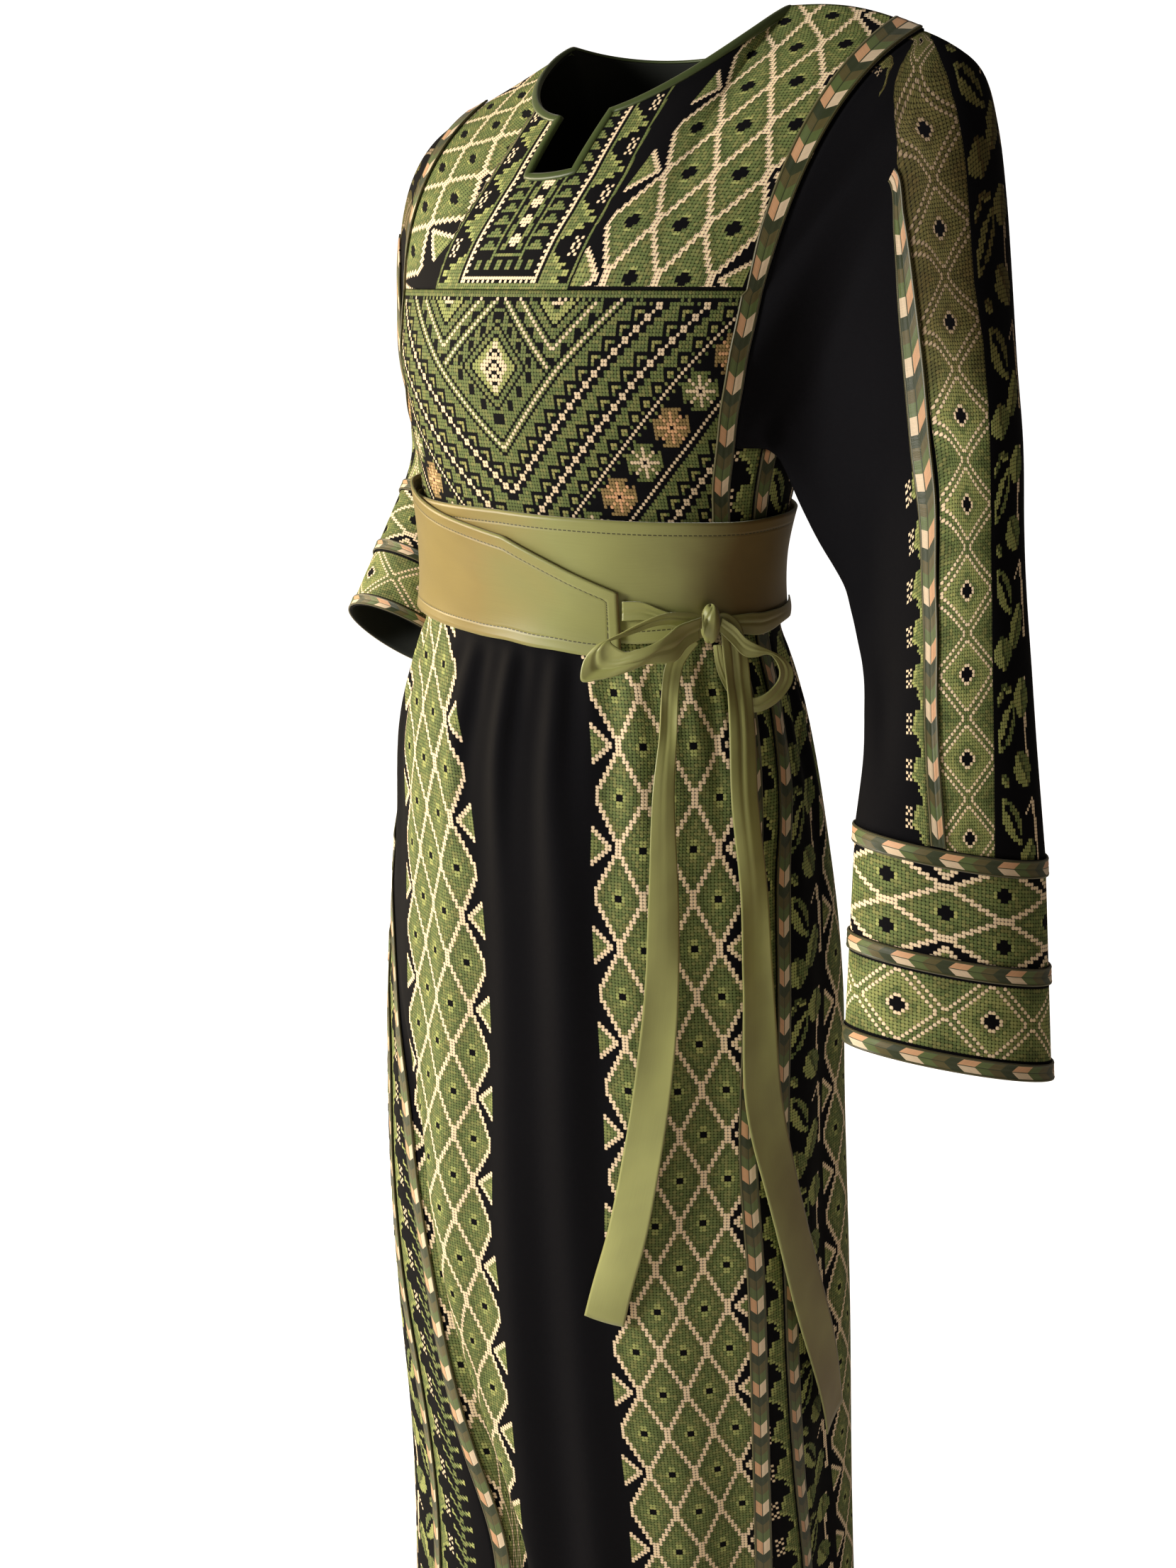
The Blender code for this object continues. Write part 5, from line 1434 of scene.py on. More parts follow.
def make_yoke():
    """Front yoke: the placket's chart in its middle and a lattice bent towards each shoulder."""
    us, _, p, keep = yoke_surface()
    across = reach(p, 0, drop=2) / STITCH
    v = reach(p, 1, drop=0) / STITCH
    lean = np.interp(v, [0, 4, 13, 20, 30, 40, 60], [-5.4, -4.5, -2.2, 0, 2.1, 2.5, 3])
    u = across - across[len(us) // 2] - lean
    left = 1.03 * u + np.interp(v, [0, 3, 16, 29, 42, 57, 70], [3, 3, 2.8, 0.4, -3.9, -9.5, -14])
    right = 36.7 + 0.375 * (-u - 38) + 0.36 * (v - 25.3)
    left, right = np.maximum(left, YOKE_LATTICE), np.maximum(right, YOKE_LATTICE)
    on_left, on_right = u > PLACKET_L, u < -PLACKET_R
    cu = np.where(u > 0, np.where(on_left, left, 1.142 * u), -np.where(on_right, right, -1.05 * u))
    cv = np.where(on_left, 1.14 * v + 0.1 * (u - 46.7) * ramp(v, 0, 9), 1.18 * v)
    cv = np.where(on_right, 78.2 - 0.6 * (-u - 38) + 1.44 * (v - 25.3), cv)
    sew("front_yoke", pull_in(p, "abcd"), cu, cv, "yoke", keep=keep)


def back_surface():
    """Back piece: rings of the body up to the chest line, then columns over the shoulders."""
    ub = np.linspace(1, -1, 91)
    zs = np.linspace(WAIST_Z, CHEST_Z, 50)
    f = ((1 - ub) / 2)[:, None]
    theta = mix(seam(BACK_L, zs)[None], seam(BACK_R, zs)[None] + 360.0, f)
    low = body(theta, np.broadcast_to(zs, theta.shape))
    vb = np.linspace(0, 1, 60)
    u, v = np.meshgrid(ub, vb, indexing="ij")
    up = yoke_column(u, v, back=True)
    low[:, -1] = up[:, 0]
    return np.concatenate([low, up[:, 1:]], 1)


def make_back():
    """Back of the bodice and yoke in one piece."""
    p = back_surface()
    across = reach(p, 0, drop=2) / STITCH
    u = across - across[len(across) // 2]
    sew("back_bodice", pull_in(p, "abcd"), u, reach(p, 1, drop=0) / STITCH, "back")


ARM_TURN = np.linspace(-110.0, 250.0, 121)


def sleeve_surface(side, count):
    """Sleeve grid: columns round the arm from the back, rows from the armhole to the cuff."""
    rings = sleeve_rings(side, ARM_TURN[:-1] % 360.0)
    return np.swapaxes(smooth(np.linspace(0, 12, count), np.arange(13), rings), 0, 1)


def folded_sleeve(side, count):
    """Sleeve grid and its normals, with a long trough behind its front edge and short folds in the bend."""
    p = sleeve_surface(side, count)
    n = grid_normal(p, wrap=True) * (1.0 if side == "left" else -1.0)
    phi = np.radians(ARM_TURN[:-1])[:, None]
    v = np.linspace(0, 1, p.shape[1])[None]
    deg = ARM_TURN[:-1][:, None]
    if side == "left":
        out = -0.0045 * bell(deg, 128 + 14 * v, 12) * ramp(v, 0.10, 0.35) * (1 - ramp(v, 0.80, 1.0))
        out = out + 0.0040 * bell(deg, 150 + 10 * v, 13) * ramp(v, 0.15, 0.4) * (1 - ramp(v, 0.85, 1.0))
        out = out - 0.0035 * bell(deg, 205 - 10 * v, 14) * ramp(v, 0.25, 0.5) * (1 - ramp(v, 0.85, 1.0))
        out = out + 0.0016 * np.sin(v * 26 + phi * 2) * bell(deg, 40, 40) * ramp(v, 0.05, 0.2) * (1 - v)
    else:
        bend = ramp(v, 0.15, 0.4) * (1 - ramp(v, 0.8, 1.0))
        out = 0.0028 * np.sin(v * 22 + phi * 3) * bell(deg, 150, 60) * bend
        out = out - 0.0035 * bell(deg, 60, 14) * bend
    return p + n * out[..., None], n


# left sleeve's band of diamonds, row by row: distance from the shoulder in stitches, then in degrees where
# its outer and its inner edge lie
STRIP = np.array([(0, 1, 4.6), (3, 2, 7), (5.8, 3.3, 10.6), (8.7, 5, 18.9), (11.4, 6.9, 28.3),
                  (13.7, 9.4, 37), (15.8, 12.2, 45.5), (17.6, 15.3, 57.2), (19.3, 18.1, 72.1), (21, 20.4, 82),
                  (22.6, 22.7, 87.9), (24.3, 24.3, 90.5), (31, 24.6, 90), (59, 25.7, 89), (71, 22.5, 89),
                  (82, 23.3, 89), (93, 27, 90.5), (105, 32, 92.5), (115, 40, 94), (125, 48, 94.8),
                  (135, 54, 95.4), (147, 59, 96), (161, 63.7, 96.6), (177, 68.4, 97)])
# where the middles of its diamonds lie along the sleeve, against their place on the chart
DIAMONDS = np.array([(0, -18.7), (24.3, 12), (43, 36), (60.9, 60), (80.4, 84), (98.2, 108), (115, 132),
                     (131.8, 156), (152.1, 180), (177, 209.4)])
# at the same distances, where the middle of the band lies between its edges and how far its rows lean
LEAN = np.array([(0, 0.42, 0.66), (43, 0.42, 0.65), (61, 0.416, 0.64), (80, 0.403, 0.62), (98, 0.46, 0.46),
                 (115, 0.532, 0.27), (132, 0.525, 0.12), (152, 0.514, -0.05), (177, 0.51, -0.15)])
BAND_OUTER, BAND_MIDDLE, BAND_INNER = 22.9, 12.8, 2.7
# angles in degrees between which a sleeve's braid lies, where a table doesn't give others
BRAID_START, BRAID_END = 91.0, 103.0


def make_sleeves():
    """Both sleeves: u of their map runs back round the arm from the seam braid, v down to the cuff."""
    for side in ("left", "right"):
        p, n = folded_sleeve(side, 120)
        q = pull_in(p, "d")
        q[:, 0] += unit(q[:, 0] - q[:, 1]) * 0.0022 - n[:, 0] * 0.0011  # turned under beside the armhole
        flat = sleeve_surface(side, 120)
        v = reach(flat, 1).mean(0) / STITCH
        edge, inner, half, lean, fan = (np.full(v.shape, c) for c in (60.0, BRAID_START, 0.5, 0.0, 12.0))
        if side == "left":
            edge, inner = (np.interp(v, STRIP[:, 0], STRIP[:, k]) for k in (1, 2))
            half, lean = (np.interp(v, LEAN[:, 0], LEAN[:, k]) for k in (1, 2))
            fan = np.interp(v, [70, 100, 130, 170], [7.0, 8.0, 12.0, 15.0])
            v = np.interp(v, DIAMONDS[:, 0], DIAMONDS[:, 1])
        else:
            v = reach(closed(flat), 1) / STITCH
            v = v - v[:, -1:] + v[:, -1].mean()
        stops = [91, 48, BAND_OUTER, BAND_MIDDLE, BAND_INNER, 0, -2.7, -13, -60]
        turns = [[-110, e - 50, e, e + (f - e) * h, f, f + 5, f + 10, f + 10 + g, 250]
                 for e, f, h, g in zip(edge, inner, half, fan)]
        u = np.stack([np.interp(ARM_TURN, row, stops) for row in turns], 1)
        v = v - lean * (np.clip(u, BAND_INNER, BAND_OUTER) - BAND_MIDDLE)
        sew("sleeve_" + side, q, u, v, "sleeve", wrap=True,
            flip=side == "right")


def cuff_surface(side, turns, count, start=0.0, end=1.0):
    """Cuff grid: a cone round the arm between two shares of its length."""
    upper, hem = CUFF_L if side == "left" else CUFF_R
    return np.stack([arm_ring(mix(upper, hem, k), turns) for k in np.linspace(start, end, count)], 1)


def make_cuffs():
    """Both cuffs: their charts run round the arm from the sleeve's seam braid."""
    for side in ("left", "right"):
        p = cuff_surface(side, ARM_TURN[:-1], 44)
        s = reach(closed(p), 0) / STITCH
        start = np.interp((BRAID_START + BRAID_END) / 2, ARM_TURN, np.arange(len(ARM_TURN)))
        u = s - at_column(s, np.full(s.shape[1], start))
        v = np.broadcast_to(np.linspace(0, CUFF_LEN / STITCH, p.shape[1]), u.shape)
        sew("cuff_" + side, pull_in(p, "c"), u, v, "cuff", wrap=True,
            flip=side == "right")


# ---- braid
BRAID_ACROSS = np.linspace(0, 1, 13)
BRAID_SHORT = 0.001    # how far a strip stops short of a seam that crosses it, metres
BRAID_FROM = 28        # row of the sleeve where its braid begins


def lay_braid(name, p, n, flip):
    """Strip of braid: corded edges standing up beside two flat satin halves, on the cloth that carries it.

    p runs across in columns from one edge of the strip to the other, and along it in rows."""
    f = np.linspace(-1, 1, p.shape[0])
    crown = 0.0004 * bell(abs(f), 0.86, 0.12) + 0.00025 * (1 - f * f) - 0.0002 * bell(f, 0, 0.08)
    lift = CLOTH_T / 2 + GAP + BRAID_T * 0.45 + crown
    q = p + n * lift[:, None, None]
    across = reach(p, 0) * 1000.0
    across = across - across[-1] / 2
    along = np.broadcast_to(reach(p, 1).mean(0) * 1000.0, across.shape)
    maps = {"Stitches": np.stack([across * 14.0 / np.maximum(across[-1] - across[0], 1.0), along], -1)}
    obj = make_piece(name, q, maps, [finish_of("braid")], BRAID_T * 0.85, flip=flip)
    cut_sheet(q)


def braid_turns(which, z, inward, turn=0.0):
    """Angles of a strip of braid beside a seam: inward is +1 or -1, the way from the seam into its panel."""
    at = seam(which, z) + turn
    step = np.linalg.norm(body(at + 0.5, z) - body(at - 0.5, z), axis=-1)
    return at[None] + inward * (BRAID_ACROSS[:, None] * BRAID_W) / step[None]


def make_seam_braid():
    """Braid beside the long seams of the skirt and of the bodice's sides."""
    skirt = skirt_rows(240)
    skirt[-1] = skirt[-1] - BRAID_SHORT
    bodice = np.linspace(WAIST_Z + BRAID_SHORT, ARM_Z - BRAID_SHORT, 30)
    for name, which, z, inward, on, turn in (
            ("front_skirt_l", FRONT_L, skirt, -1.0, "skirt_front", 0.0),
            ("front_skirt_r", FRONT_R, skirt, 1.0, "skirt_front", 0.0),
            ("side_left_skirt", GORE_L, skirt, 1.0, "skirt_side_left", 0.0),
            ("side_right_skirt", GORE_R, skirt, -1.0, "skirt_side_right", 360.0),
            ("bodice_side_left", GORE_L, bodice, 1.0, "bodice_side_left", 0.0),
            ("bodice_side_right", GORE_R, bodice, -1.0, "bodice_side_right", 0.0)):
        theta = braid_turns(which, z, inward, turn)
        if inward < 0:
            theta = theta[::-1]
        zz = np.broadcast_to(z, theta.shape)
        n = body_normal(theta, zz)
        p = pull_in(body(theta, zz) + n * gathers(theta, zz)[..., None], "abd")
        lay_braid("braid_" + name, p[:, ::-1], n[:, ::-1], True)


def make_armhole_braid():
    """Braid from the shoulder down the armhole and on along the chest panel's edge to the waist."""
    z = np.linspace(WAIST_Z + BRAID_SHORT, CHEST_Z, 60)[:-1]
    v = np.linspace(0, 0.996, 90)
    width = mix(0.0775, 0.088, ramp(v, 0.0, 0.2))
    for side, which, s in (("left", FRONT_L, 1.0), ("right", FRONT_R, -1.0)):
        theta = braid_turns(which, z, -s)
        zz = np.broadcast_to(z, theta.shape)
        low = body(theta, zz) + body_normal(theta, zz) * chest_pull(theta, zz)[..., None]
        p = np.concatenate([low, yoke_column(s * (1 - width * BRAID_ACROSS[:, None]), v)], 1)
        if s > 0:
            p = p[::-1]
        n = grid_normal(p)
        lay_braid("braid_armhole_" + side, pull_in(p, "abcd")[:, ::-1], n[:, ::-1],
                  True)


def make_arm_braid():
    """Braid down the front of each sleeve and round each cuff."""
    for side in ("left", "right"):
        p, n = folded_sleeve(side, 170)
        row = np.arange(p.shape[1])
        low, high = (np.full(row.shape, c) for c in (BRAID_START, BRAID_END))
        if side == "left":
            stops = [0, 28, 58, 77, 94, 110, 127, 146, 170]
            low = smooth(row, stops, [90, 90, 89, 89, 91.5, 94, 95.2, 96.2, 97])
            high = smooth(row, stops, [94, 94, 98.5, 100.4, 102, 103, 104, 105, 105.8])
        at = np.interp(mix(low, high, BRAID_ACROSS[:, None]), ARM_TURN, np.arange(len(ARM_TURN)))
        i, f = np.floor(at).astype(int), (at % 1.0)[..., None]
        strip, sn = mix(p[i, row], p[i + 1, row], f), unit(mix(n[i, row], n[i + 1, row], f))
        strip = pull_in(strip[:, BRAID_FROM:], "cd", 0.0012)
        lay_braid("braid_sleeve_" + side, strip, sn[:, BRAID_FROM:], side == "right")
        w = CUFF_BRAID_W / CUFF_LEN
        for label, a in (("upper", 0.002), ("middle", 0.485), ("hem", 1.0 - w)):
            c = np.swapaxes(cuff_surface(side, ARM_TURN, 13, a, min(a + w, 1.0)), 0, 1)
            n = grid_normal(c) * (-1.0 if side == "left" else 1.0)
            lay_braid("braid_cuff_" + label + "_" + side, c, n, side == "left")


# ---- sash
def make_belt():
    """Sash: wrapped once round and over itself; its map carries the distance from its nearest edge."""
    ang = np.linspace(BELT[0, 0], BELT[-1, 0], 330)
    top, low, out = (np.interp(ang, BELT[:, 0], BELT[:, k]) for k in (1, 2, 3))
    rows = np.linspace(0, 1, 30)
    z = mix(low[:, None], top[:, None], rows[None])
    th = np.broadcast_to(ang[:, None], z.shape)
    n = body_normal(th, np.clip(z, -0.43, None))
    t = np.radians(th)
    wave = 0.0004 * np.sin(t * 6 + z * 40) + 0.0003 * np.sin(t * 11 - z * 70 + 1.0)
    hug = -0.0006 * (1 - (2 * rows[None] - 1) ** 2)
    p = body(th, z) + n * (out[:, None] + wave + hug)[..., None]
    along = reach(p, 0)
    across = reach(p, 1)
    height = across[:, -1:]
    edge = np.minimum(np.minimum(across, height - across), along[-1] - along) * 1000.0
    maps = {"Stitches": np.stack([along, across], -1) * 1000.0, "Edge": np.stack([edge, 0 * edge], -1)}
    obj = make_piece("belt", p, maps, [finish_of("sash")], BELT_T)
    cut_sheet(p)


def on_body(theta, z, out):
    """Point a distance out from the dress."""
    theta, z, out = np.broadcast_arrays(theta, z, out)
    return body(theta, z) + body_normal(theta, z) * out[..., None]


def ribbon(name, path, across, width, camber, crease, at):
    """Soft ribbon: a path, the direction across it, its width, a bow by camber and one long crease."""
    half = unit(np.asarray(across, float)) * (np.asarray(width) * 0.5)[:, None]
    band(name, path - half, path + half, camber, crease, at)


def plain_maps(along, wide):
    """Maps of a ribbon in millimetres: its satin, and an edge too far away to be stitched."""
    return {"Stitches": np.stack([along, wide], -1), "Edge": np.stack([0 * along + 50.0, 0 * along], -1)}


def band(name, a, b, camber, crease, at):
    """Ribbon laid between two edge lines."""
    rows = np.linspace(-1, 1, 17)
    n = unit(np.cross(unit(np.gradient((a + b) / 2, axis=0)), unit(b - a)))
    deep = np.broadcast_to(crease, camber.shape)[:, None]
    bow = camber[:, None] * (1 - rows[None] ** 2) - deep * bell(rows, at, 0.13)[None]
    bow = bow + deep * 0.6 * bell(rows, at + 0.34, 0.16)[None]
    p = mix(a[:, None], b[:, None], ((rows + 1) / 2)[None, :, None]) + n[:, None] * bow[..., None]
    along = reach(p, 0).mean(1)[:, None] * 1000.0 + 0 * p[..., 0]
    obj = make_piece(name, p, plain_maps(along, reach(p, 1) * 1000.0), [finish_of("tie")], TIE_T)
    cut_sheet(p)


KNOT_TURN = 3.45       # angle from the knot's middle to where the ties come out of it, degrees


def make_tails():
    """Hanging tails, the short tie on the belt in front of the knot and the long one round the side."""
    for name, table, twist in (("tie_tail_left", TAIL_L, 1.0), ("tie_tail_right", TAIL_R, -1.0)):
        k = np.linspace(0, len(table) - 1, 150)
        th, z, wide, out = (smooth(k, np.arange(len(table)), table[:, c]) for c in range(4))
        path = on_body(th, z, out)
        side = body_normal(th, z)
        tangent = unit(np.gradient(path, axis=0))
        across = np.cross(side, tangent)
        camber = (0.0015 * np.sin(k * 1.3 + 0.4) + 0.0006 * np.sin(k * 3.1)) * ramp(k, 2, 4)
        turn = np.radians(5.0) * np.sin(k * 0.8) * ramp(k, 3, 5) * twist
        across = across * np.cos(turn)[:, None] + side * np.sin(turn)[:, None]
        fold = 0.0024 * bell(k, 2.6, 2.6) * (1.0 if name == "tie_tail_right" else 0.15)
        ribbon(name, path, across, wide, camber, fold, -0.15)
    ang = np.linspace(36.9, KNOT[0] - KNOT_TURN, 40)
    z, wide = (smooth(ang, [36.9, 43.5, 47.5, 52, 59.1], c) for c in
               ([-0.399, -0.399, -0.402, -0.4055, -0.4085], [0.014, 0.0125, 0.010, 0.009, 0.009]))
    path = on_body(ang, z, np.linspace(0.0092, 0.0115, 40))
    ribbon("tie_short", path, np.tile([0, 0, 1.0], (40, 1)), wide, 0 * ang - 0.0008,
           0.0006, -0.2)
    ang = np.linspace(KNOT[0] + KNOT_TURN, 118.0, 90)
    z, wide, out = (smooth(ang, [66, 72, 78, 84, 90, 96, 118], c) for c in
                    ([-0.4090, -0.4110, -0.4128, -0.4142, -0.4135, -0.4125, -0.4115],
                     [0.009, 0.013, 0.016, 0.0165, 0.015, 0.012, 0.013],
                     [0.0115, 0.0108, 0.0100, 0.0094, 0.0092, 0.0090, 0.0087]))
    path = on_body(ang, z, out)
    lean = np.radians(24.0) * np.sin((ang - 66) / 9.0)
    up = np.array([0, 0, 1.0]) * np.cos(lean)[:, None] + body_normal(ang, z) * np.sin(lean)[:, None] * 0.25
    ribbon("tie_round", path, up, wide, 0 * ang + 0.0009,
           0.0012 * bell(ang, 78, 14), 0.1)


KNOT_OUT = 0.0150                      # middle of the knot from the dress, metres
KNOT_HALF = (0.0070, 0.0078, 0.0136)   # half its width, depth and height, metres


def knot_frame():
    """Middle of the knot, outward direction and the wearer's left across it."""
    th, z = KNOT
    n = body_normal(th, z)
    return on_body(th, z, KNOT_OUT), n, unit(np.cross(np.array([0, 0, 1.0]), n))


def make_loops():
    """Loops of the bow: each lies between two edge lines that leave the knot, turn over and come back."""
    mid, n, across = knot_frame()
    ways = np.stack([across, np.cross(n, across), n])
    for name, table in (("bow_loop_left", LOOP_L), ("bow_loop_right", LOOP_R)):
        k = np.linspace(0, len(table) - 1, 190)
        edge = smooth(k, np.arange(len(table)), table) / 1000.0
        a, b = mid + edge[:, :3] @ ways, mid + edge[:, 3:] @ ways
        wide = reach(np.stack([a, b], 1), 1)[:, -1]
        camber = 0.10 * wide * np.sin(k * 1.1 + 0.5)
        band(name, a, b, camber, 0.05 * wide, -0.2)


def make_knot():
    """Knot: a cushion of folded tie, creased slantwise where the tie wraps over itself."""
    mid, n, across = knot_frame()
    a = np.radians(np.linspace(0, 360, 49))[:-1]
    r = np.radians(np.linspace(-89, 89, 33))
    a, r = np.meshgrid(a, r, indexing="ij")
    crease = 0.16 * bell(np.sin(a + r * 0.9 + 0.4), 0.1, 0.16)
    crease = crease + 0.05 * bell(np.sin(a * 2 + r * 0.6), -0.5, 0.2)
    wide = np.cos(r) ** 0.75 * (1 - crease)
    p = mid + across * (KNOT_HALF[0] * np.cos(a) * wide)[..., None]
    p = p + n * (KNOT_HALF[1] * np.sin(a) * wide)[..., None]
    p = p + np.array([0, 0, KNOT_HALF[2]]) * (np.sin(r) * (1 - 0.06 * np.cos(a * 3)))[..., None]
    t = reach(closed(p), 1) * 1000
    s = reach(closed(p), 0)[:, 16:17] * 1000 + 0 * t
    obj = make_piece("bow_knot", p, plain_maps(t, s), [finish_of("tie")], 0.0, wrap=True)
    cap_ends(obj)


def cap_ends(obj):
    """Closes the two small holes at the poles of a wrapped grid."""
    bm = bmesh.new()
    bm.from_mesh(obj.data)
    bmesh.ops.holes_fill(bm, edges=[e for e in bm.edges if e.is_boundary], sides=0)
    bmesh.ops.recalc_face_normals(bm, faces=bm.faces)
    bm.to_mesh(obj.data)
    bm.free()


# section of the binding, from the cloth's face over the edge to its back, in widths and lifts
BINDING = np.array([(1.0, 0.2), (0.92, 0.75), (0.7, 1.0), (0.4, 1.05), (0.12, 1.0), (-0.05, 0.7),
                    (-0.12, 0.1), (-0.08, -0.6), (0.1, -0.9)])


def soften(way):
    """Directions along a closed line, each blended three times with its neighbours."""
    for _ in range(3):
        way = unit(np.roll(way, 1, 0) + way * 2 + np.roll(way, -1, 0))
    return way


def make_binding():
    """Bias binding: folded over the raw edge of the neck and the slit, rounded at the edge."""
    us, vs, p, _ = yoke_surface()
    n = grid_normal(p)
    top, mid = len(vs) - 1, len(us) // 2
    near = np.flatnonzero(abs(us) <= NECK_U + 0.0001)
    first, last = mid - SLIT_HALF, mid + SLIT_HALF
    right, left = near[near <= first], near[near >= last]
    slit = np.arange(top - 1, SLIT_ROW, -1)
    u, v = np.meshgrid(np.linspace(NECK_U, -NECK_U, 70), np.array([0.90, 0.95, 1.0]), indexing="ij")
    back = yoke_column(u, v, back=True)
    foot = np.arange(first, last + 1)
    col = np.concatenate([right, np.full(len(slit), first), foot, np.full(len(slit), last), left])
    row = np.concatenate([np.full(len(right), top), slit, np.full(len(foot), SLIT_ROW), slit[::-1],
                          np.full(len(left), top)])
    edge = np.concatenate([p[col, row], back[1:-1, -1]])
    normal = soften(np.concatenate([n[col, row], grid_normal(back)[1:-1, -1]]))
    into = soften(unit(np.cross(unit(np.roll(edge, -1, 0) - np.roll(edge, 1, 0)), normal)))
    up = CLOTH_T / 2 + 2 * GAP + BIND_T / 2
    q = edge[:, None] + into[:, None] * (BINDING[None, :, 0] * BIND_W)[..., None]
    q = q + normal[:, None] * (BINDING[None, :, 1] * up)[..., None]
    t = reach(closed(q), 1) * 1000
    s = reach(closed(q), 0).mean(1)[:, None] * 1000 + 0 * t
    obj = make_piece("neck_binding", q, plain_maps(t, s), [finish_of("binding")], BIND_T * 0.6, wrap=True)
    cut_sheet(q, wrap=True)


# =====================================================================  stage
# lamps: name, place, size in metres, property of the stage that sets the power, colour
LAMPS = (("Key", (-1.7, -2.8, 0.3), 1.0, "key", (1.0, 0.945, 0.86)),
         ("Warm side", (-3.0, -1.0, 0.2), 1.2, "side", (1.0, 0.82, 0.54)),
         ("Fill", (2.6, -2.2, -0.8), 1.6, "fill", (1.0, 0.78, 0.54)))
LAMP_TARGET = Vector((0.0, -0.03, -0.6))
WHITE = (1.0, 1.0, 1.0, 1.0)
WARM_ROOM = (1.0, 0.89, 0.76, 1.0)
FLOOR_DROP = 0.02      # floor below the hem, metres
EYE = (0.740, -1.051, -0.173)
EYE_TURN, EYE_TILT = math.radians(38.0), math.radians(17.2)


def aim(obj, way):
    """Turns a lamp or camera to look along a direction."""
    obj.rotation_euler = way.to_track_quat("-Z", "Y").to_euler()


def seen_directly(net):
    """One for what the camera sees itself, zero for light that the scene sends on."""
    return Num(net, net.nodes.new("ShaderNodeLightPath").outputs["Is Camera Ray"])


def make_floor(glow):
    """Pale floor 18 m wide that sweeps up behind in a quarter circle of 3 m."""
    sweep = np.radians(np.linspace(5, 90, 18))
    y = np.concatenate([[-7, 5], 5 + 3 * np.sin(sweep), [8]])
    z = np.concatenate([[0, 0], 3 - 3 * np.cos(sweep), [9]])
    verts = [(x, b, HEM_Z - FLOOR_DROP + c) for b, c in zip(y, z) for x in (-9, 9)]
    mesh = bpy.data.meshes.new("floor")
    mesh.from_pydata(verts, [], [(2 * k, 2 * k + 1, 2 * k + 3, 2 * k + 2) for k in range(len(y) - 1)])
    mesh.shade_smooth()
    floor = place_object("floor", mesh)
    floor.rotation_euler = (0, 0, EYE_TURN)
    mat, net, shader = blank("Pale paper")
    net.fill(shader, Base_Color=(0.9, 0.9, 0.9, 1.0), Roughness=1.0, Emission_Color=WHITE,
             Emission_Strength=seen_directly(net) * glow)
    mesh.materials.append(mat)


def make_stage():
    """The floor, a pale world, three soft lamps and the camera."""
    stage = bpy.context.scene.dress_stage
    make_floor(stage.paper_glow)
    world = bpy.data.worlds.new("Pale room")
    bpy.context.scene.world = world
    world.use_nodes = True
    air = Net(world.node_tree)
    seen = seen_directly(air)
    air.fill(air.nodes["Background"], Color=air.paint(WARM_ROOM, seen, WHITE),
             Strength=seen * (1.0 - stage.room) + stage.room)
    for name, place, size, power, colour in LAMPS:
        lamp = bpy.data.lights.new(name, "AREA")
        lamp.shape = "SQUARE"
        lamp.size = size
        lamp.energy = getattr(stage, power)
        lamp.color = colour
        obj = place_object(name, lamp)
        obj.location = place
        aim(obj, LAMP_TARGET - Vector(place))
    cam = bpy.data.cameras.new("Camera")
    cam.lens = stage.lens
    cam.clip_start = 0.05
    cam.clip_end = 60.0
    obj = place_object("Camera", cam)
    obj.location = EYE
    aim(obj, Vector((-math.sin(EYE_TURN) * math.cos(EYE_TILT), math.cos(EYE_TURN) * math.cos(EYE_TILT),
                     -math.sin(EYE_TILT))))
    bpy.context.scene.camera = obj
    bpy.context.scene.view_settings.view_transform = "Standard"


# =====================================================================  add-on
def colour_prop(label, text, value):
    """Colour swatch of the panel."""
    return bpy.props.FloatVectorProperty(name=label, description=text, subtype="COLOR", size=3, min=0.0,
                                         max=1.0, default=value[:3])


class DressFinish(bpy.types.PropertyGroup):
    """Colours of the threads and of the satin."""
    dark: colour_prop("Dark thread", "Darkest green of the cross stitch", tone(68, 78, 46))
    mid: colour_prop("Mid thread", "Middle green of the cross stitch", tone(99, 112, 67))
    light: colour_prop("Light thread", "Lightest green of the cross stitch", tone(148, 156, 96))
    beige: colour_prop("Beige thread", "Thread of the outlines", tone(230, 208, 178))
    tan: colour_prop("Tan thread", "Olive tan of every other star", tone(142, 120, 80))
    peach: colour_prop("Peach thread", "Peach of the braid and star arms", tone(220, 170, 128))
    satin: colour_prop("Satin", "Satin of the sash and ties", tone(150, 153, 92))


class DressStage(bpy.types.PropertyGroup):
    """Powers of the lamps, light of the room and lens."""
    key: bpy.props.FloatProperty(
        name="Key lamp", description="Power of the main lamp", default=106.0, unit="POWER")
    side: bpy.props.FloatProperty(
        name="Side lamp", description="Power of the warm lamp at the side", default=92.0, unit="POWER")
    fill: bpy.props.FloatProperty(
        name="Fill lamp", description="Power of the weak lamp on the shaded side", default=9.0, unit="POWER")
    room: bpy.props.FloatProperty(
        name="Room light", description="Strength of the room's own light", default=0.08)
    paper_glow: bpy.props.FloatProperty(
        name="Paper glow", description="How much the floor shines", default=1.0)
    lens: bpy.props.FloatProperty(
        name="Lens", description="Focal length", default=37.43, unit="CAMERA")


class DRESS_OT_chest(bpy.types.Operator):
    """Makes the embroidered chest panel"""
    bl_idname = "dress.chest"
    bl_label = "Chest panel"

    def execute(self, context):
        make_chest()
        return {"FINISHED"}


class DRESS_OT_yoke(bpy.types.Operator):
    """Makes the front yoke with its neck slit"""
    bl_idname = "dress.yoke"
    bl_label = "Front yoke"

    def execute(self, context):
        make_yoke()
        return {"FINISHED"}


class DRESS_OT_back(bpy.types.Operator):
    """Makes the back of the bodice"""
    bl_idname = "dress.back"
    bl_label = "Back piece"

    def execute(self, context):
        make_back()
        return {"FINISHED"}


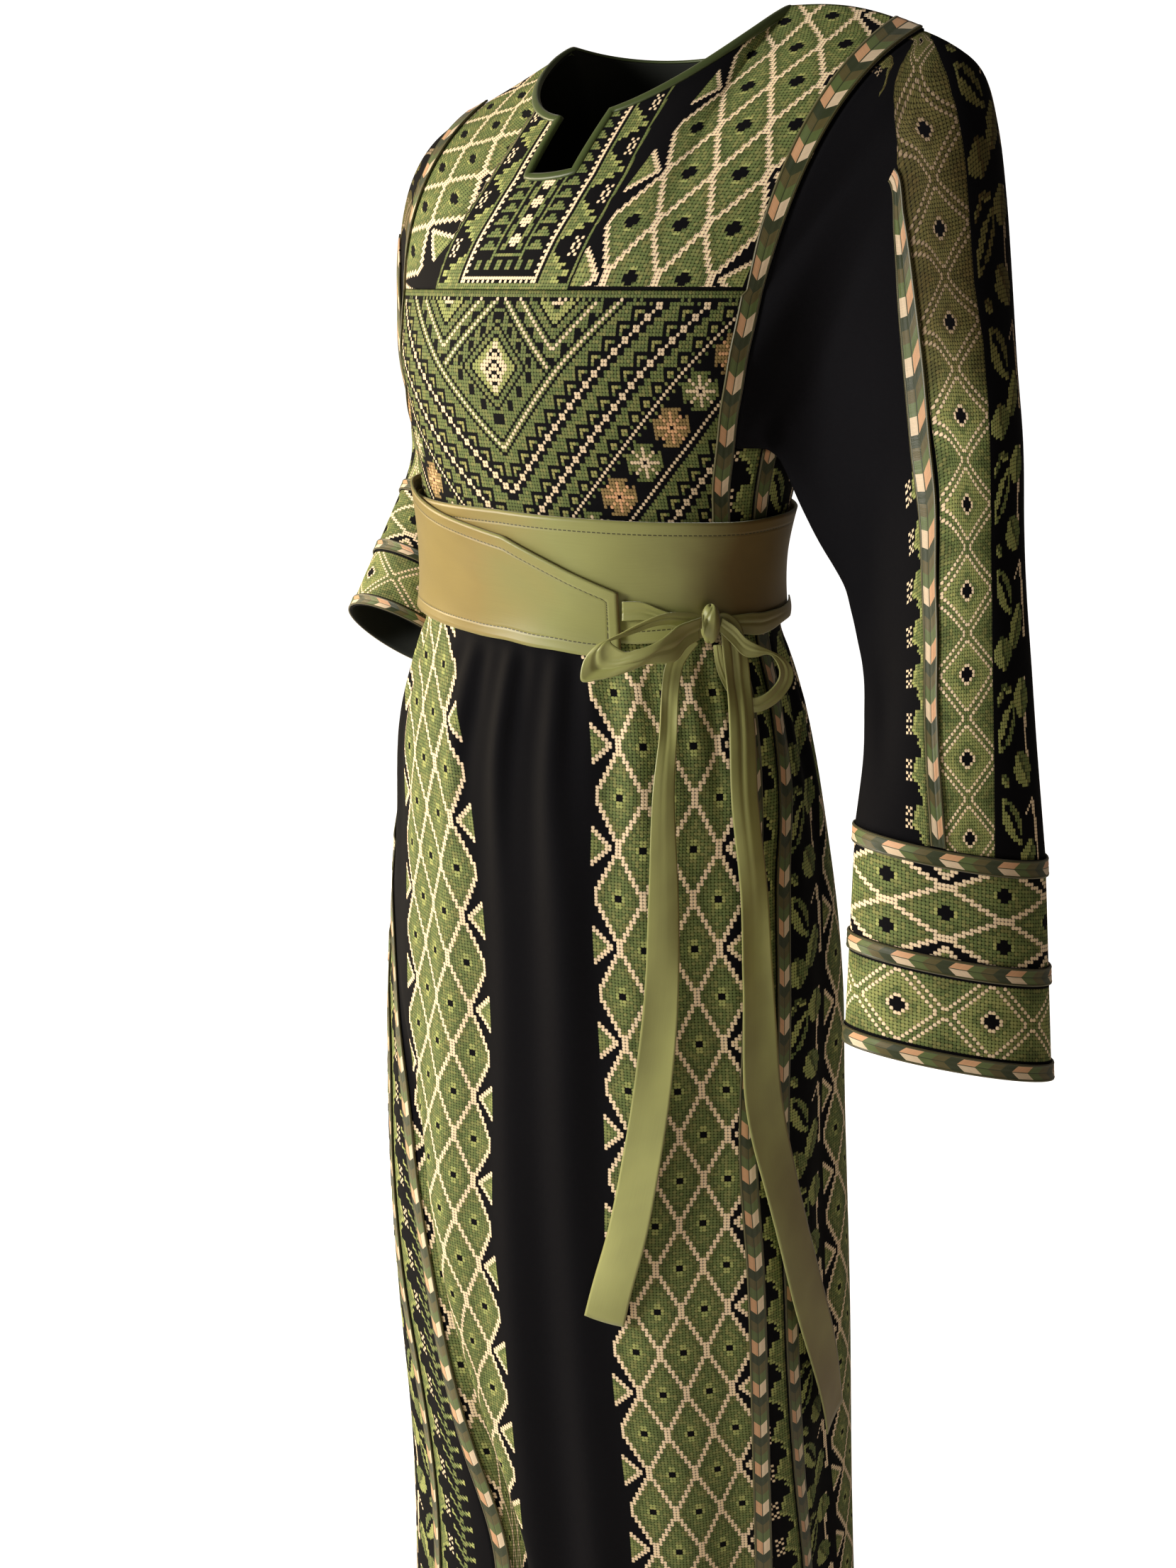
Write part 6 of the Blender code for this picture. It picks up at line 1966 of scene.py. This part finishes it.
class DRESS_OT_bodice_sides(bpy.types.Operator):
    """Makes the two side pieces below the arms"""
    bl_idname = "dress.bodice_sides"
    bl_label = "Bodice sides"

    def execute(self, context):
        make_bodice_sides()
        return {"FINISHED"}


class DRESS_OT_skirt_front(bpy.types.Operator):
    """Makes the front of the skirt"""
    bl_idname = "dress.skirt_front"
    bl_label = "Skirt front"

    def execute(self, context):
        make_skirt_front()
        return {"FINISHED"}


class DRESS_OT_skirt_sides(bpy.types.Operator):
    """Makes the two side panels of the skirt"""
    bl_idname = "dress.skirt_sides"
    bl_label = "Skirt sides"

    def execute(self, context):
        make_skirt_sides()
        return {"FINISHED"}


class DRESS_OT_skirt_back(bpy.types.Operator):
    """Makes the back of the skirt"""
    bl_idname = "dress.skirt_back"
    bl_label = "Skirt back"

    def execute(self, context):
        make_skirt_back()
        return {"FINISHED"}


class DRESS_OT_gores(bpy.types.Operator):
    """Makes the gores of the skirt and bodice"""
    bl_idname = "dress.gores"
    bl_label = "Gores"

    def execute(self, context):
        make_gores()
        return {"FINISHED"}


class DRESS_OT_sleeves(bpy.types.Operator):
    """Makes both sleeves"""
    bl_idname = "dress.sleeves"
    bl_label = "Sleeves"

    def execute(self, context):
        make_sleeves()
        return {"FINISHED"}


class DRESS_OT_cuffs(bpy.types.Operator):
    """Makes both cuffs"""
    bl_idname = "dress.cuffs"
    bl_label = "Cuffs"

    def execute(self, context):
        make_cuffs()
        return {"FINISHED"}


class DRESS_OT_seam_braid(bpy.types.Operator):
    """Lays braid along the long seams"""
    bl_idname = "dress.seam_braid"
    bl_label = "Seam braid"

    def execute(self, context):
        make_seam_braid()
        return {"FINISHED"}


class DRESS_OT_armhole_braid(bpy.types.Operator):
    """Lays braid down both armholes"""
    bl_idname = "dress.armhole_braid"
    bl_label = "Armhole braid"

    def execute(self, context):
        make_armhole_braid()
        return {"FINISHED"}


class DRESS_OT_arm_braid(bpy.types.Operator):
    """Lays braid down the sleeves and round the cuffs"""
    bl_idname = "dress.arm_braid"
    bl_label = "Sleeve braid"

    def execute(self, context):
        make_arm_braid()
        return {"FINISHED"}


class DRESS_OT_binding(bpy.types.Operator):
    """Binds the neck and its slit"""
    bl_idname = "dress.binding"
    bl_label = "Neck binding"

    def execute(self, context):
        make_binding()
        return {"FINISHED"}


class DRESS_OT_sash(bpy.types.Operator):
    """Wraps the sash round the waist"""
    bl_idname = "dress.sash"
    bl_label = "Sash belt"

    def execute(self, context):
        make_belt()
        return {"FINISHED"}


class DRESS_OT_bow(bpy.types.Operator):
    """Ties the bow: knot, loops, ties and tails"""
    bl_idname = "dress.bow"
    bl_label = "Bow"

    def execute(self, context):
        make_knot()
        make_loops()
        make_tails()
        return {"FINISHED"}


class DRESS_OT_stage(bpy.types.Operator):
    """Makes the floor, lamps and camera"""
    bl_idname = "dress.stage"
    bl_label = "Stage"

    def execute(self, context):
        make_stage()
        return {"FINISHED"}


OPERATORS = (
    DRESS_OT_chest, DRESS_OT_yoke, DRESS_OT_back, DRESS_OT_bodice_sides, DRESS_OT_skirt_front,
    DRESS_OT_skirt_sides, DRESS_OT_skirt_back, DRESS_OT_gores, DRESS_OT_sleeves, DRESS_OT_cuffs,
    DRESS_OT_seam_braid, DRESS_OT_armhole_braid, DRESS_OT_arm_braid, DRESS_OT_binding, DRESS_OT_sash,
    DRESS_OT_bow, DRESS_OT_stage,
)


class DRESS_PT_panel(bpy.types.Panel):
    """Lists the steps that build the dress."""
    bl_label = "Embroidered dress"
    bl_idname = "DRESS_PT_panel"
    bl_space_type = "VIEW_3D"
    bl_region_type = "UI"
    bl_category = "Dress"

    def draw(self, context):
        for group in (context.scene.dress_finish, context.scene.dress_stage):
            box = self.layout.box()
            for prop in group.bl_rna.properties:
                if prop.identifier not in ("rna_type", "name"):
                    box.prop(group, prop.identifier)
        for op in OPERATORS:
            self.layout.operator(op.bl_idname)


CLASSES = (DressFinish, DressStage) + OPERATORS + (DRESS_PT_panel,)


def register():
    for c in CLASSES:
        bpy.utils.register_class(c)
    bpy.types.Scene.dress_finish = bpy.props.PointerProperty(type=DressFinish)
    bpy.types.Scene.dress_stage = bpy.props.PointerProperty(type=DressStage)


def unregister():
    del bpy.types.Scene.dress_stage
    del bpy.types.Scene.dress_finish
    for c in reversed(CLASSES):
        bpy.utils.unregister_class(c)


def main():
    register()
    for op in OPERATORS:
        group, step = op.bl_idname.split(".")
        getattr(getattr(bpy.ops, group), step)()


if __name__ == "__main__":
    main()
